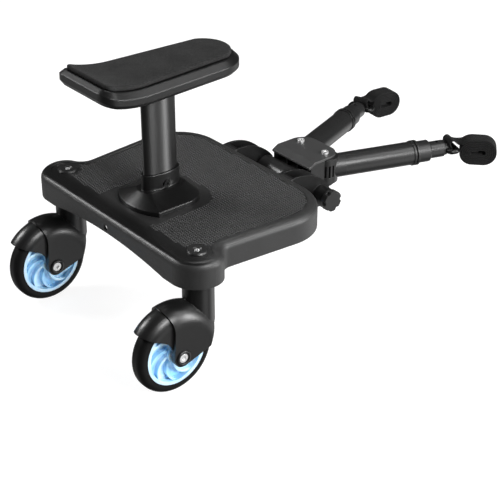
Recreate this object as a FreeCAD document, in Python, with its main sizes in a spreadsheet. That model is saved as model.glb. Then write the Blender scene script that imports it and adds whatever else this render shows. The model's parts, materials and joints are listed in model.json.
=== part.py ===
import FreeCAD, Part
import math
import operator
import os
import types

from FreeCAD import Placement, Rotation, Vector

# Buggy board: a ride-on board that is strapped to the back of a stroller.
# Frame: +Z up from the floor, +Y towards the stroller, +X to the board's right
# hand side when looking along +Y. The origin lies on the floor, under the
# middle of the whole board. Lengths "ahead" and "back" are from the seat post.

# Driving dimensions: name, number in millimetres, degrees or pieces, meaning
SIZES = (
    ("post_y", -192, "seat post axis along Y"),
    ("free_gap", 0.3, "space between faces that pass each other"),
    ("running_gap", 0.05, "radial play of a pin that turns in its bore"),
    ("fit_gap", 0.1, "play of the oval post in its sockets"),
    # Deck
    ("deck_top", 194, "top of the deck rim above the floor"),
    ("deck_plate", 4, "thickness of the deck plate"),
    ("deck_wall", 4, "thickness of the deck skirt"),
    ("skirt_depth", 37, "height of the skirt"),
    ("deck_edge_round", 10, "rounding of the rim's outer edge"),
    ("deck_front", 175, "front edge ahead of the post"),
    ("side_half", 173, "half width of the front part"),
    ("front_round", 70, "radius of the front corners in plan"),
    ("caster_x", 152, "swivel axis from the middle"),
    ("caster_back", 54, "swivel axis behind the post"),
    ("lobe_reach", 38, "deck edge outside the swivel axis"),
    ("lobe_round", 30, "front radius of the rear lobes"),
    ("rear_round", 40, "rear radius of the rear lobes"),
    ("waist_round", 18, "hollow radius ahead of the lobes"),
    ("waist_turn", 65, "angle where lobe and hollow meet"),
    ("field_border", 14, "width of the smooth rim"),
    ("field_depth", 1.2, "depth of the tread field below the rim"),
    ("arch_half", 130, "half span of the arch in the rear skirt"),
    ("arch_rise", 12, "rise of that arch"),
    ("hook_hole_radius", 4.3, "hole for a lifting strap in the rear skirt"),
    ("hook_hole_drop", 17.5, "that hole below the deck top"),
    ("rib_thick", 2.5, "thickness of stiffening bars and ribs"),
    ("rib_depth", 16, "depth of the stiffening bars below the plate"),
    ("rib_x", 75, "lengthwise stiffening bars from the middle"),
    # Caster swivels
    ("swivel_boss_radius", 24, "boss below each lobe"),
    ("swivel_boss_drop", 31, "boss foot below the deck top"),
    ("kingpin_radius", 5, "shank of the kingpin"),
    ("kingpin_length", 58, "shank below the kingpin head"),
    ("kingpin_head_radius", 9, "flange of the kingpin head"),
    ("kingpin_head_height", 4, "height of that flange"),
    ("kingpin_button_radius", 3.8, "screw button on the head"),
    ("kingpin_button_height", 4, "height of that button"),
    ("bush_radius", 8, "outside of the swivel bush"),
    ("counterbore_radius", 10.5, "well for the kingpin head"),
    ("counterbore_depth", 6.5, "depth of that well below the field"),
    ("thrust_thick", 2, "thickness of the thrust washer"),
    ("thrust_radius", 18, "outside of the thrust washer"),
    ("cap_radius", 14.35, "round cap over the kingpin"),
    ("cap_thick", 3, "cap above the field"),
    ("cap_hole_radius", 4.6, "hole in the cap"),
    ("cap_spigot", 1, "cap edge that reaches into the well"),
    # Caster forks
    ("stem_radius", 21.5, "round stem below the deck"),
    ("stem_overlap", 30, "stem foot above the axle"),
    ("trail", 46, "axle behind the swivel axis"),
    ("wheel_radius", 60, "tyre radius, and so the axle height"),
    ("hood_radius", 72, "outside of the broad hood about the axle"),
    ("hood_half", 26, "half width of the broad hood"),
    ("fender_radius", 70, "outside of the rear fender about the axle"),
    ("fender_half", 21, "half width of the rear fender"),
    ("cavity_radius", 66, "wheel space about the axle"),
    ("cavity_half", 17, "half width of the wheel space"),
    ("cavity_round", 8, "rounding of the wheel space"),
    ("fork_boss_radius", 13.5, "lower end of the fork about the axle"),
    ("axle_radius", 4, "axle bolt"),
    ("axle_boss_radius", 8, "inner bosses that hold the bearings"),
    ("recess_radius", 9.5, "well for the axle bolt head"),
    ("recess_depth", 3, "depth of that well"),
    ("axle_head_radius", 6.5, "axle bolt head"),
    ("axle_head_height", 4, "height of the axle bolt head and nut"),
    # Wheels
    ("tyre_half", 12, "half width of the tyre"),
    ("tyre_round", 9, "rounding of the tread"),
    ("rim_radius", 47, "outside of the hub rim"),
    ("rim_thick", 5, "thickness of the hub rim"),
    ("rim_half", 11.5, "half width of the hub rim"),
    ("web_half", 2, "half thickness of the hub web"),
    ("hub_boss_radius", 14.5, "middle of the hub"),
    ("bearing_radius", 11, "outside of the bearings"),
    ("bearing_width", 7, "width of a bearing"),
    ("spacer_radius", 6, "outside of the bearing spacer"),
    ("blade_count", 10, "swirl blades in the hub"),
    ("blade_half", 9, "half width of a blade"),
    ("blade_sweep", 55, "turn of a blade from boss to rim"),
    ("blade_angle", 7, "thickness of a blade as an angle"),
    # Seat base and post
    ("base_half", 48, "half width of the seat base"),
    ("base_side_back", 38, "rear corner of the base behind the post"),
    ("base_rear", 55, "rear edge of the base behind the post"),
    ("base_front", 48, "front edge of the base ahead of the post"),
    ("base_round", 36, "front corners of the base in plan"),
    ("base_edge", 5, "upright edge of the base above the deck"),
    ("base_height", 18, "shoulder of the base above the deck"),
    ("base_recess", 1.5, "depth that the base is let into the field"),
    ("post_half_x", 10.5, "half thickness of the oval post"),
    ("post_half_y", 27.5, "half depth of the oval post"),
    ("post_wall", 2.5, "wall of the post"),
    ("collar_wall", 3.5, "wall of the sockets round the post"),
    ("collar_top", 41, "base socket rim above the deck"),
    ("post_foot", 6, "post foot above the deck"),
    ("cross_radius", 3, "cross bolts through the post"),
    ("cross_head_radius", 5, "heads of the cross bolts"),
    ("cross_head_height", 3, "height of those heads"),
    ("base_bolt_rise", 24, "lower cross bolt above the deck"),
    ("base_screw_x", 33, "base screws from the middle"),
    ("base_screw_back", 30, "rear base screws behind the post"),
    ("base_screw_front", 24, "front base screws ahead of the post"),
    ("base_screw_radius", 2.5, "base screws"),
    ("base_screw_head", 5, "heads of the base screws"),
    ("screw_boss_depth", 10, "screw bosses below the plate"),
    # Seat
    ("seat_top", 385, "seat shell's flat top above the floor"),
    ("shell_depth", 22, "height of the shell's edge"),
    ("seat_rear", 121, "shell behind the post"),
    ("seat_front", 126, "shell ahead of the post"),
    ("seat_half", 60, "half width of the shell at the rear"),
    ("seat_rear_round", 20, "rear corners of the shell in plan"),
    ("seat_nose", 50, "front radius of the shell in plan"),
    ("seat_rise", 16, "lift of the rear edge"),
    ("seat_rise_back", 45, "start of that lift behind the post"),
    ("shell_bevel", 7.5, "bevel along the shell's top edge"),
    ("shell_under", 5, "bevel along the shell's lower edge"),
    ("shell_rim", 12, "solid edge round the shell's hollow"),
    ("shell_skin", 6, "thickness of the shell's top"),
    ("seat_socket_drop", 28, "socket foot below the seat top"),
    ("seat_bolt_drop", 21, "upper cross bolt below the seat top"),
    ("post_top_drop", 9, "post end below the seat top"),
    ("pad_inset", 10.5, "pad edge inside the shell edge"),
    ("pad_thick", 6.5, "thickness of the foam pad"),
    ("pad_round", 2.5, "rounding of the pad's upper edge"),
    # Hinge between board and arms
    ("hinge_ahead", 227, "hinge axis ahead of the post"),
    ("hinge_z", 151.5, "hinge axis above the floor"),
    ("hinge_radius", 4, "hinge bolt"),
    ("ear_inner", 4, "inner face of the ears beyond the barrel's end"),
    ("ear_outer", 77, "outer face of the ears from the middle"),
    ("ear_wall", 4, "walls of the ears"),
    ("ear_radius", 20, "ear round the hinge axis"),
    ("ear_drop", 2, "ear's top below the deck top at its root"),
    ("ear_crown", 80, "radius of the ear's arched top"),
    ("ear_pocket", 8, "floor of the ear's pocket above the hinge axis"),
    ("knob_boss_radius", 15, "boss below the clamp knob"),
    ("knob_boss_length", 20, "length of that boss"),
    ("knob_radius", 15.7, "clamp knob"),
    ("knob_length", 9, "length of the clamp knob"),
    ("knob_lobes", 6, "grip notches round the knob"),
    ("knob_notch", 3.5, "radius of a grip notch"),
    ("hinge_head_radius", 7, "head of the hinge bolt"),
    ("hinge_head_height", 5, "height of that head"),
    # Bracket that carries the arms
    ("barrel_radius", 17, "bracket's barrel round the hinge axis"),
    ("barrel_half", 45, "half length of the barrel"),
    ("bracket_half", 3, "sides of the bracket inside the barrel's ends"),
    ("bracket_floor", 5, "thickness of the bracket floor"),
    ("window_width", 21, "windows in the bracket's back"),
    ("window_height", 11, "height of those windows"),
    ("window_depth", 14, "depth of those windows"),
    ("pivot_ahead", 282, "arm pivots ahead of the post"),
    ("pivot_x", 27, "arm pivots from the middle"),
    ("pivot_radius", 3, "pivot screws"),
    ("pivot_head_radius", 5.5, "heads of the pivot screws"),
    ("pivot_head_height", 3, "height of those heads and nuts"),
    ("plate_top", 182, "top of the bracket's steel plate"),
    ("plate_thick", 3, "thickness of that plate"),
    ("plate_front", 21, "plate edge ahead of the arm pivots"),
    ("plate_back", 44, "folded edge behind the arm pivots"),
    ("plate_bevel", 11, "sloped band of the folded edge"),
    ("plate_drop", 5.8, "fall of that sloped band"),
    ("plate_lip", 3, "upright lip of the folded edge"),
    ("plate_round", 24, "front corners of the plate in plan"),
    # Arms
    ("arm_z", 159, "arm axes above the floor"),
    ("arm_splay", 20, "arm axes away from straight ahead"),
    ("root_radius", 20, "arm root round its pivot"),
    ("slot_width", 3, "slots in the side of the arm root"),
    ("slot_depth", 4, "depth of those slots"),
    ("tube_radius", 18, "outer arm tube"),
    ("tube_wall", 2, "wall of both arm tubes"),
    ("tube_start", 29, "outer tube from the pivot"),
    ("tube_length", 112, "length of the outer tube"),
    ("plug_length", 29, "root plug inside the outer tube"),
    ("collar_inside", 28, "collar's sleeve inside the tube"),
    ("collar_rib", 1.3, "height of the collar's two ribs"),
    ("rib_width", 3.2, "width of those ribs"),
    ("collar_length", 30, "collar beyond the tube"),
    ("inner_radius", 13, "telescopic inner tube"),
    ("inner_start", 2, "inner tube's hidden end ahead of the root's plug"),
    ("inner_length", 54.5, "inner tube beyond the outer tube"),
    ("index_back", 12, "index hole behind the inner tube's end"),
    ("index_radius", 3.2, "index hole"),
    ("ring_bar", 4, "bar of the strap ring"),
    ("ring_half", 18, "half width of the ring between bar middles"),
    ("ring_neck", 4, "ring's near bar beyond the inner tube"),
    ("ring_reach", 14, "ring between near and far bar middles"),
    ("ring_round", 5, "corners of the ring"),
    ("ring_plug", 22, "ring's plug inside the inner tube"),
    # Rolled straps
    ("strap_width", 25, "webbing width"),
    ("strap_thick", 2.2, "webbing thickness"),
    ("strap_gap", 0.7, "space between the loops of the roll"),
    ("strap_loops", 6, "loops in the roll"),
    ("roll_core", 3.55, "innermost bend of the roll"),
    ("roll_half", 8.5, "half of the straight between the bends"),
    ("loop_lift", 12, "rise of the strap through the ring"),
    ("loop_lean", 30, "lean of that rise"),
    ("loop_steep", 45, "steepness of the fall towards the roll"),
    ("loop_radius", 5, "bend of the strap over the ring"),
    ("loop_drop", 4, "straight fall behind that bend"),
    ("tail_turn", 25, "strap's free end round the ring's far bar"),
    ("roll_ahead", 37.8, "middle of the roll ahead of the ring's far bar"),
    ("roll_drop", 3.5, "middle of the roll below the arm axis"),
    ("roll_entry", 40, "climb of the strap where the roll begins"),
    ("roll_swing", 27, "sideways swing of the roll about the far bar"),
)

doc = FreeCAD.newDocument("buggy_board")
sheet = doc.addObject("Spreadsheet::Sheet", "Sizes")
for row, (alias, number, meaning) in enumerate(SIZES, start=1):
    sheet.set(f"A{row}", meaning)
    sheet.set(f"B{row}", str(number))
    sheet.setAlias(f"B{row}", alias)
doc.recompute()

OPERATIONS = {
    "+": operator.add,
    "-": operator.sub,
    "*": operator.mul,
    "/": operator.truediv,
}


class Size:
    """A number together with the sheet expression that it comes from."""

    def __init__(self, number, text):
        self.number = number
        self.text = text

    def __add__(self, other):
        return combine(self, "+", other)

    def __radd__(self, other):
        return combine(other, "+", self)

    def __sub__(self, other):
        return combine(self, "-", other)

    def __rsub__(self, other):
        return combine(other, "-", self)

    def __mul__(self, other):
        return combine(self, "*", other)

    def __rmul__(self, other):
        return combine(other, "*", self)

    def __truediv__(self, other):
        return combine(self, "/", other)

    def __neg__(self):
        return combine(0, "-", self)


def as_size(amount):
    """Any number as a Size."""
    if isinstance(amount, Size):
        return amount
    return Size(amount, repr(amount) if amount >= 0 else f"({amount!r})")


def combine(left, sign, right):
    """Two sizes joined by an arithmetic sign, in number and in expression."""
    left, right = as_size(left), as_size(right)
    number = OPERATIONS[sign](left.number, right.number)
    return Size(number, f"({left.text} {sign} {right.text})")


# Bound sizes for features, and the same values as plain numbers for outlines
s = types.SimpleNamespace(**{alias: Size(sheet.get(alias), f"Sizes.{alias}") for alias, _, _ in SIZES})
n = types.SimpleNamespace(**{alias: sheet.get(alias) for alias, _, _ in SIZES})

SIDES = (("left", -1), ("right", 1))
TURNS = {
    "X": Rotation(Vector(0, 1, 0), 90),
    "Y": Rotation(Vector(1, 0, 0), -90),
    "Z": Rotation(),
}
CLEAR = 5
subparts = []


# Small building blocks

def bind(item, path, amount):
    """Tie a property to the sheet."""
    item.setExpression(path, as_size(amount).text)


def put(item, x=0, y=0, z=0, rotation=Rotation()):
    """Turn an object and tie its place to the sheet."""
    item.Placement = Placement(Vector(), rotation)
    bind(item, "Placement.Base.x", x)
    bind(item, "Placement.Base.y", y)
    bind(item, "Placement.Base.z", z)
    return item


def keep(item, label, x=0, y=0, z=0, turn=0):
    """Name a finished sub-part and set it into the board's frame."""
    item.Label = label
    put(item, x, s.post_y + y, z, Rotation(Vector(0, 0, 1), turn))
    subparts.append(item)
    return item


def box(name, length, width, height, x, y, z):
    """Box from its lowest corner."""
    item = doc.addObject("Part::Box", name)
    bind(item, "Length", length)
    bind(item, "Width", width)
    bind(item, "Height", height)
    return put(item, x, y, z)


def rod(name, radius, length, x, y, z, along="Z"):
    """Round bar from the middle of its first end."""
    item = doc.addObject("Part::Cylinder", name)
    bind(item, "Radius", radius)
    bind(item, "Height", length)
    return put(item, x, y, z, TURNS[along])


def hexagon(name, radius, length, x, y, z, along="Z"):
    """Hexagonal bar, by its corner radius, from the middle of its first end."""
    item = doc.addObject("Part::Prism", name)
    item.Polygon = 6
    bind(item, "Circumradius", radius)
    bind(item, "Height", length)
    return put(item, x, y, z, TURNS[along])


def fused(name, *items):
    """One solid from several."""
    item = doc.addObject("Part::MultiFuse", name)
    item.Shapes = list(items)
    return item


def cut(name, base, *tools):
    """A solid with others taken out of it."""
    item = doc.addObject("Part::Cut", name)
    item.Base = base
    item.Tool = tools[0] if len(tools) == 1 else fused(name + "_tools", *tools)
    return item


def common(name, first, second):
    """What two solids share."""
    item = doc.addObject("Part::Common", name)
    item.Base = first
    item.Tool = second
    return item


def group(name, *items):
    """Separate solids in one object."""
    item = doc.addObject("Part::Compound", name)
    item.Links = list(items)
    return item


def ring(name, outer, inner, length, x, y, z, along="Z"):
    """Tube from the middle of its first end."""
    return cut(
        name,
        rod(name + "_outside", outer, length, x, y, z, along),
        rod(name + "_bore", inner, length, x, y, z, along),
    )


def line(start, end):
    """Straight edge of an outline."""
    return Part.LineSegment(Vector(*start, 0), Vector(*end, 0))


def arc(centre, radius, start, end):
    """Round edge of an outline, anticlockwise between two angles in degrees."""
    circle = Part.Circle(Vector(*centre, 0), Vector(0, 0, 1), radius)
    return Part.ArcOfCircle(circle, math.radians(start), math.radians(end))


def bend(start, middle, end):
    """Round edge of an outline through three points, kept anticlockwise."""
    first, second, third = [Vector(*point, 0) for point in (start, middle, end)]
    if (second - first).cross(third - second).z < 0:
        first, third = third, first
    return Part.Arc(first, second, third)


def circle(centre, radius):
    """Round outline."""
    return Part.Circle(Vector(*centre, 0), Vector(0, 0, 1), radius)


def oval(half_x, half_y):
    """Elliptical outline round the post axis, long along Y."""
    return Part.Ellipse(Vector(0, half_y, 0), Vector(half_x, 0, 0), Vector())


def polygon(*points):
    """Straight-edged outline."""
    return [line(a, b) for a, b in zip(points, points[1:] + points[:1])]


def polar(centre, radius, angle):
    """Point at an angle in degrees round a centre."""
    turn = math.radians(angle)
    return (centre[0] + radius * math.cos(turn), centre[1] + radius * math.sin(turn))


def lean(first, second, spread):
    """Angle of the normal of a line that touches two circles.

    The normal's distance along first minus second is the spread of the radii.
    """
    across = first[0] - second[0]
    along = first[1] - second[1]
    reach = math.acos(spread / math.hypot(across, along))
    return math.degrees(math.atan2(along, across) + reach)


def mirrored(edges):
    """The edges of a right-hand half outline, with their left-hand twins."""
    twins = []
    for edge in edges:
        half_way = edge.value((edge.FirstParameter + edge.LastParameter) / 2)
        start, middle, end = [(-p.x, p.y) for p in (edge.EndPoint, half_way, edge.StartPoint)]
        twins.append(line(start, end) if isinstance(edge, Part.LineSegment) else bend(start, middle, end))
    return edges + twins


def new_body(name):
    """Empty body."""
    return doc.addObject("PartDesign::Body", name)


def sketch(body, name, plane, edges, offset=0):
    """Outline on one of the body's own planes, lifted along its normal."""
    item = body.newObject("Sketcher::SketchObject", name)
    support = next(f for f in body.Origin.OriginFeatures if f.Role == plane)
    item.AttachmentSupport = (support, [""])
    item.MapMode = "FlatFace"
    bind(item, "AttachmentOffset.Base.z", offset)
    item.addGeometry(list(edges), False)
    return item


def pad(body, profile, length):
    """Material along the profile's normal."""
    item = body.newObject("PartDesign::Pad", profile.Name + "_pad")
    item.Profile = profile
    bind(item, "Length", length)
    body.Tip = item
    return item


def pocket(body, profile, length=None, upwards=False):
    """Hollow against the profile's normal, or right through both ways."""
    doc.recompute()
    before = body.Shape.Volume
    item = body.newObject("PartDesign::Pocket", profile.Name + "_pocket")
    item.Profile = profile
    if length is None:
        item.SideType = "Symmetric"
        item.Type = "ThroughAll"
    else:
        bind(item, "Length", length)
    item.Reversed = upwards
    body.Tip = item
    doc.recompute()
    if body.Shape.Volume >= before:
        raise RuntimeError(f"{profile.Name} takes nothing away")
    return item


def turned(name, edges, plane="XY_Plane", axis="H_Axis"):
    """Body of revolution about the sketch's own axis."""
    body = new_body(name)
    profile = sketch(body, name + "_profile", plane, edges)
    item = body.newObject("PartDesign::Revolution", name + "_turning")
    item.Profile = profile
    item.ReferenceAxis = (profile, [axis])
    item.Angle = 360
    body.Tip = item
    return body


def extruded(name, plane, edges, offset, length):
    """Body with one padded outline."""
    body = new_body(name)
    pad(body, sketch(body, name + "_profile", plane, edges, offset), length)
    return body


def dress(body, kind, amount, wanted):
    """Fillet or chamfer on the edges that a test picks out."""
    doc.recompute()
    base = body.Tip
    names = [f"Edge{i}" for i, edge in enumerate(base.Shape.Edges, start=1) if wanted(edge)]
    item = body.newObject("PartDesign::" + kind, f"{body.Name}_{kind.lower()}")
    item.Base = (base, names)
    bind(item, "Radius" if kind == "Fillet" else "Size", amount)
    body.Tip = item
    return item


def level(height):
    """Test for edges that lie at one height."""
    return lambda edge: max(abs(edge.BoundBox.ZMin - height), abs(edge.BoundBox.ZMax - height)) < 0.01


# Deck

def deck_outline(inset=0.0):
    """The deck from above, drawn in by the inset."""
    reach = n.caster_x + n.lobe_reach
    rear = (reach - n.rear_round, -n.caster_back)
    lobe = (reach - n.lobe_round, -n.caster_back)
    waist = polar(lobe, n.lobe_round + n.waist_round, n.waist_turn)
    front = (n.side_half - n.front_round, n.deck_front - n.front_round)
    tilt = lean(waist, front, n.front_round + n.waist_round)
    rear_y = -n.caster_back - n.rear_round + inset
    front_y = n.deck_front - inset
    hollow = n.waist_round + inset
    corner = n.front_round - inset
    return mirrored([
        line((0, rear_y), (rear[0], rear_y)),
        arc(rear, n.rear_round - inset, -90, 0),
        arc(lobe, n.lobe_round - inset, 0, n.waist_turn),
        arc(waist, hollow, tilt + 180, n.waist_turn + 180),
        line(polar(waist, hollow, tilt + 180), polar(front, corner, tilt)),
        arc(front, corner, tilt, 90),
        line((front[0], front_y), (0, front_y)),
    ])


def base_outline(half, side_back, rear, front, rounding):
    """The seat base from above: straight sides, round front, bulged rear."""
    corner = (half - rounding, front - rounding)
    return mirrored([
        line((half, -side_back), (half, corner[1])),
        arc(corner, rounding, 0, 90),
        line((corner[0], front), (0, front)),
    ]) + [bend((-half, -side_back), (0, -rear), (half, -side_back))]


def ear_outline():
    """A hinge ear from the side, as Y and Z: an arched top that runs into the round of the hinge."""
    axle = (n.hinge_ahead, n.hinge_z)
    root_y = n.deck_front - n.deck_wall
    top = (root_y, n.deck_top - n.ear_drop)
    foot = (root_y, n.deck_top - n.skirt_depth)
    crown = crossing(top, n.ear_crown, axle, n.ear_crown - n.ear_radius)
    blend = bearing(crown, axle)
    lower = touch(foot, axle, n.ear_radius, 1)
    return [
        line(foot, polar(axle, n.ear_radius, lower)),
        arc(axle, n.ear_radius, lower, blend + 360),
        arc(crown, n.ear_crown, blend, bearing(crown, top)),
        line(top, foot),
    ]


def bearing(start, end):
    """Direction from one point to another in degrees."""
    return math.degrees(math.atan2(end[1] - start[1], end[0] - start[0]))


def crossing(first, first_radius, second, second_radius):
    """Point where two circles cross, on the right hand side from the first to the second."""
    apart = math.hypot(second[0] - first[0], second[1] - first[1])
    along = (apart * apart + first_radius * first_radius - second_radius * second_radius) / (2 * apart)
    aside = math.degrees(math.acos(along / first_radius))
    return polar(first, first_radius, bearing(first, second) - aside)


def touch(point, centre, radius, side):
    """Angle on a circle where a line from the point touches it."""
    along = math.atan2(point[1] - centre[1], point[0] - centre[0])
    apart = math.hypot(point[0] - centre[0], point[1] - centre[1])
    return math.degrees(along + side * math.acos(radius / apart))


field_top = s.deck_top - s.field_depth
skirt_foot = s.deck_top - s.skirt_depth
plate_under = s.deck_top - s.deck_plate - s.field_depth
well_floor = field_top - s.counterbore_depth
boss_foot = s.deck_top - s.swivel_boss_drop
hook_z = s.deck_top - s.hook_hole_drop
rear_edge = s.caster_back + s.rear_round
ear_face = s.barrel_half + s.ear_inner


def deck_shell():
    """The moulded tray: plate, skirt, sunk tread field and seat recess."""
    body = new_body("deck_shell")
    pad(body, sketch(body, "deck_plan", "XY_Plane", deck_outline(), skirt_foot), s.skirt_depth)
    dress(body, "Fillet", s.deck_edge_round, level(n.deck_top))
    hollow = sketch(body, "deck_hollow", "XY_Plane", deck_outline(n.deck_wall), skirt_foot)
    pocket(body, hollow, s.skirt_depth - s.deck_plate - s.field_depth, upwards=True)
    field = sketch(body, "deck_field", "XY_Plane", deck_outline(n.field_border), s.deck_top)
    pocket(body, field, s.field_depth)
    recess = base_outline(
        n.base_half + n.free_gap,
        n.base_side_back + n.free_gap,
        n.base_rear + n.free_gap,
        n.base_front + n.free_gap,
        n.base_round + n.free_gap,
    )
    pocket(body, sketch(body, "deck_recess", "XY_Plane", recess, field_top), s.base_recess)
    return body


def base_screw_places():
    """Middles of the four screws that hold the seat base."""
    return [
        (s.base_screw_x * side, along)
        for side in (-1, 1)
        for along in (-s.base_screw_back, s.base_screw_front)
    ]


def make_deck():
    """Deck plate with its rim, and below it the swivel bosses and the skirt with the hinge ears."""
    solids = [deck_shell()]
    plate_height = s.deck_plate + s.field_depth
    plate_space = [extruded("plate_space", "XY_Plane", deck_outline(), plate_under, plate_height + CLEAR)]
    holes = []
    pocket_start = s.deck_front + s.ear_wall
    for name, side in SIDES:
        place = (s.caster_x * side, -s.caster_back)
        boss = rod(name + "_boss", s.swivel_boss_radius, plate_under - boss_foot, *place, boss_foot)
        bore = rod(name + "_bush_bore", s.bush_radius, s.skirt_depth, *place, boss_foot - CLEAR)
        well = rod(name + "_well", s.counterbore_radius, s.counterbore_depth + CLEAR, *place, well_floor)
        keep(cut(name + "_bored_boss", boss, bore, well), name + "_swivel_boss")
        holes += [bore, well]
        start = ear_face if side > 0 else -s.ear_outer
        width = s.ear_outer - ear_face
        solids.append(extruded(name + "_ear", "YZ_Plane", ear_outline(), start, width))
        holes.append(box(
            name + "_ear_pocket",
            width - 2 * s.ear_wall,
            s.hinge_ahead + s.ear_radius + CLEAR - pocket_start,
            s.deck_top - s.hinge_z,
            start + s.ear_wall,
            pocket_start,
            s.hinge_z + s.ear_pocket,
        ))
    solids.append(rod(
        "knob_boss", s.knob_boss_radius, s.knob_boss_length + s.ear_wall,
        s.ear_outer - s.ear_wall, s.hinge_ahead, s.hinge_z, "X"))
    boss_z = plate_under - s.screw_boss_depth
    for index, (x, y) in enumerate(base_screw_places()):
        boss = s.screw_boss_depth + s.deck_plate / 2
        hole = s.screw_boss_depth + 2 * s.deck_plate
        plate_space.append(rod(f"screw_boss_{index}", s.base_screw_head, boss, x, y, boss_z))
        holes.append(rod(f"screw_hole_{index}", s.base_screw_radius, hole, x, y, boss_z))
    holes.append(rod(
        "hinge_bore", s.hinge_radius, 2 * (s.ear_outer + s.knob_boss_length + CLEAR),
        -s.ear_outer - s.knob_boss_length - CLEAR, s.hinge_ahead, s.hinge_z, "X"))
    behind = -rear_edge - s.deck_wall
    holes.append(rod("hook_hole", s.hook_hole_radius, 4 * s.deck_wall, 0, behind, hook_z, "Y"))
    arch_radius = (s.arch_half * s.arch_half + s.arch_rise * s.arch_rise) / (2 * s.arch_rise)
    arch_z = skirt_foot + s.arch_rise - arch_radius
    holes.append(rod("rear_arch", arch_radius, 4 * s.deck_wall, 0, behind, arch_z, "Y"))
    moulding = cut("deck_moulding", fused("deck_blank", *solids, *plate_space[1:]), *holes)
    above = fused("above_skirt", *plate_space)
    keep(common("deck_solid", moulding, above), "deck")
    keep(cut("skirt_solid", moulding, above), "deck_skirt")


def make_stiffeners():
    """Flat bars on edge below the plate: two lengthwise and one between them."""
    low = plate_under - s.rib_depth
    rear = s.deck_wall + s.free_gap - rear_edge
    length = s.deck_front + rear_edge - 2 * (s.deck_wall + s.free_gap)
    inside = s.rib_x - s.rib_thick / 2 - s.free_gap
    across = s.deck_front - s.front_round
    bars = [box("cross_stiffener", 2 * inside, s.rib_thick, s.rib_depth, -inside, across, low)]
    for name, side in SIDES:
        x = s.rib_x * side - s.rib_thick / 2
        bars.append(box(name + "_stiffener", s.rib_thick, length, s.rib_depth, x, rear, low))
    keep(group("stiffener_set", *bars), "deck_stiffeners")


# Caster swivels

washer_foot = boss_foot - s.thrust_thick
stem_top = washer_foot - s.running_gap


def make_swivel(name, side):
    """Bush, thrust washer, kingpin and cap at one rear corner."""
    place = {"x": s.caster_x * side, "y": -s.caster_back}
    bush = ring(
        name + "_bush_tube", s.bush_radius, s.kingpin_radius + s.running_gap,
        well_floor - boss_foot, 0, 0, boss_foot)
    keep(bush, name + "_swivel_bush", **place)
    washer = ring(
        name + "_washer_ring", s.thrust_radius, s.kingpin_radius + s.free_gap,
        s.thrust_thick, 0, 0, washer_foot)
    keep(washer, name + "_thrust_washer", **place)
    head_z = well_floor + s.free_gap
    pin = fused(
        name + "_pin_blank",
        rod(name + "_shank", s.kingpin_radius, s.kingpin_length, 0, 0, head_z - s.kingpin_length),
        rod(name + "_flange", s.kingpin_head_radius, s.kingpin_head_height, 0, 0, head_z),
        rod(name + "_button", s.kingpin_button_radius, s.kingpin_button_height, 0, 0,
            head_z + s.kingpin_head_height),
    )
    key = hexagon(
        name + "_pin_key", s.kingpin_button_radius / 2, s.kingpin_button_height, 0, 0,
        head_z + s.kingpin_head_height + s.kingpin_button_height / 2)
    keep(cut(name + "_pin", pin, key), name + "_kingpin", **place)
    spigot = n.counterbore_radius - n.free_gap
    top = n.deck_top - n.field_depth
    cap = turned(name + "_cap_body", polygon(
        (n.cap_hole_radius, top - n.cap_spigot),
        (spigot, top - n.cap_spigot),
        (spigot, top),
        (n.cap_radius, top),
        (n.cap_radius, top + n.cap_thick / 3),
        (n.cap_radius - n.cap_thick / 2, top + n.cap_thick),
        (n.cap_hole_radius + n.cap_thick / 2, top + n.cap_thick),
        (n.cap_hole_radius, top + n.cap_thick / 2),
    ), "XZ_Plane", "V_Axis")
    keep(cap, name + "_swivel_cap", **place)


# Caster forks: the local origin is the swivel axis on the floor

def domed_disc(radius, half):
    """Half section of a disc whose edge is a half round."""
    inner = radius - half
    return [
        line((-half, 0), (half, 0)),
        line((half, 0), (half, inner)),
        arc((0, inner), half, 0, 90),
        arc((0, inner), half, 90, 180),
        line((-half, inner), (-half, 0)),
    ]


def wheel_space():
    """Half section of the room that the wheel turns in."""
    side = n.cavity_half - n.cavity_round
    inner = n.cavity_radius - n.cavity_round
    return [
        line((-n.cavity_half, 0), (n.cavity_half, 0)),
        line((n.cavity_half, 0), (n.cavity_half, inner)),
        arc((side, inner), n.cavity_round, 0, 90),
        line((side, n.cavity_radius), (-side, n.cavity_radius)),
        arc((-side, inner), n.cavity_round, 90, 180),
        line((-n.cavity_half, inner), (-n.cavity_half, 0)),
    ]


def hood_outline():
    """The broad hood from the side, about the axle: boss, front edge, seam."""
    boss = n.fork_boss_radius
    far = 1.2 * n.hood_radius
    chin = polar((0, 0), boss, -75)
    brow = (0.64 * n.hood_radius, 0)
    cheek = (0.79 * n.hood_radius, 0.39 * n.hood_radius)
    neck = (far, 0.45 * n.hood_radius)
    seam = -0.85 * boss
    return [
        arc((0, 0), boss, 180, 285),
        line(chin, brow),
        line(brow, cheek),
        line(cheek, neck),
        line(neck, (far, far)),
        line((far, far), (-2.5 * boss, far)),
        bend((-2.5 * boss, far), (seam - 0.1 * boss, 0.75 * n.hood_radius), (seam, 0.5 * n.hood_radius)),
        line((seam, 0.5 * n.hood_radius), (-boss, 0)),
    ]


def fender_outline():
    """The rear fender from the side, about the axle: concave edge and tip."""
    boss = n.fork_boss_radius
    far = 1.2 * n.fender_radius
    knee = (-0.42 * n.fender_radius, 0.46 * n.fender_radius)
    tip = (-far, 0.85 * n.fender_radius)
    return [
        line((0, 0), (0, far)),
        line((0, far), (-far, far)),
        line((-far, far), tip),
        line(tip, knee),
        bend(knee, (-0.22 * n.fender_radius, 0.28 * n.fender_radius), (-boss, 0)),
        line((-boss, 0), (0, 0)),
    ]


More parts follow.
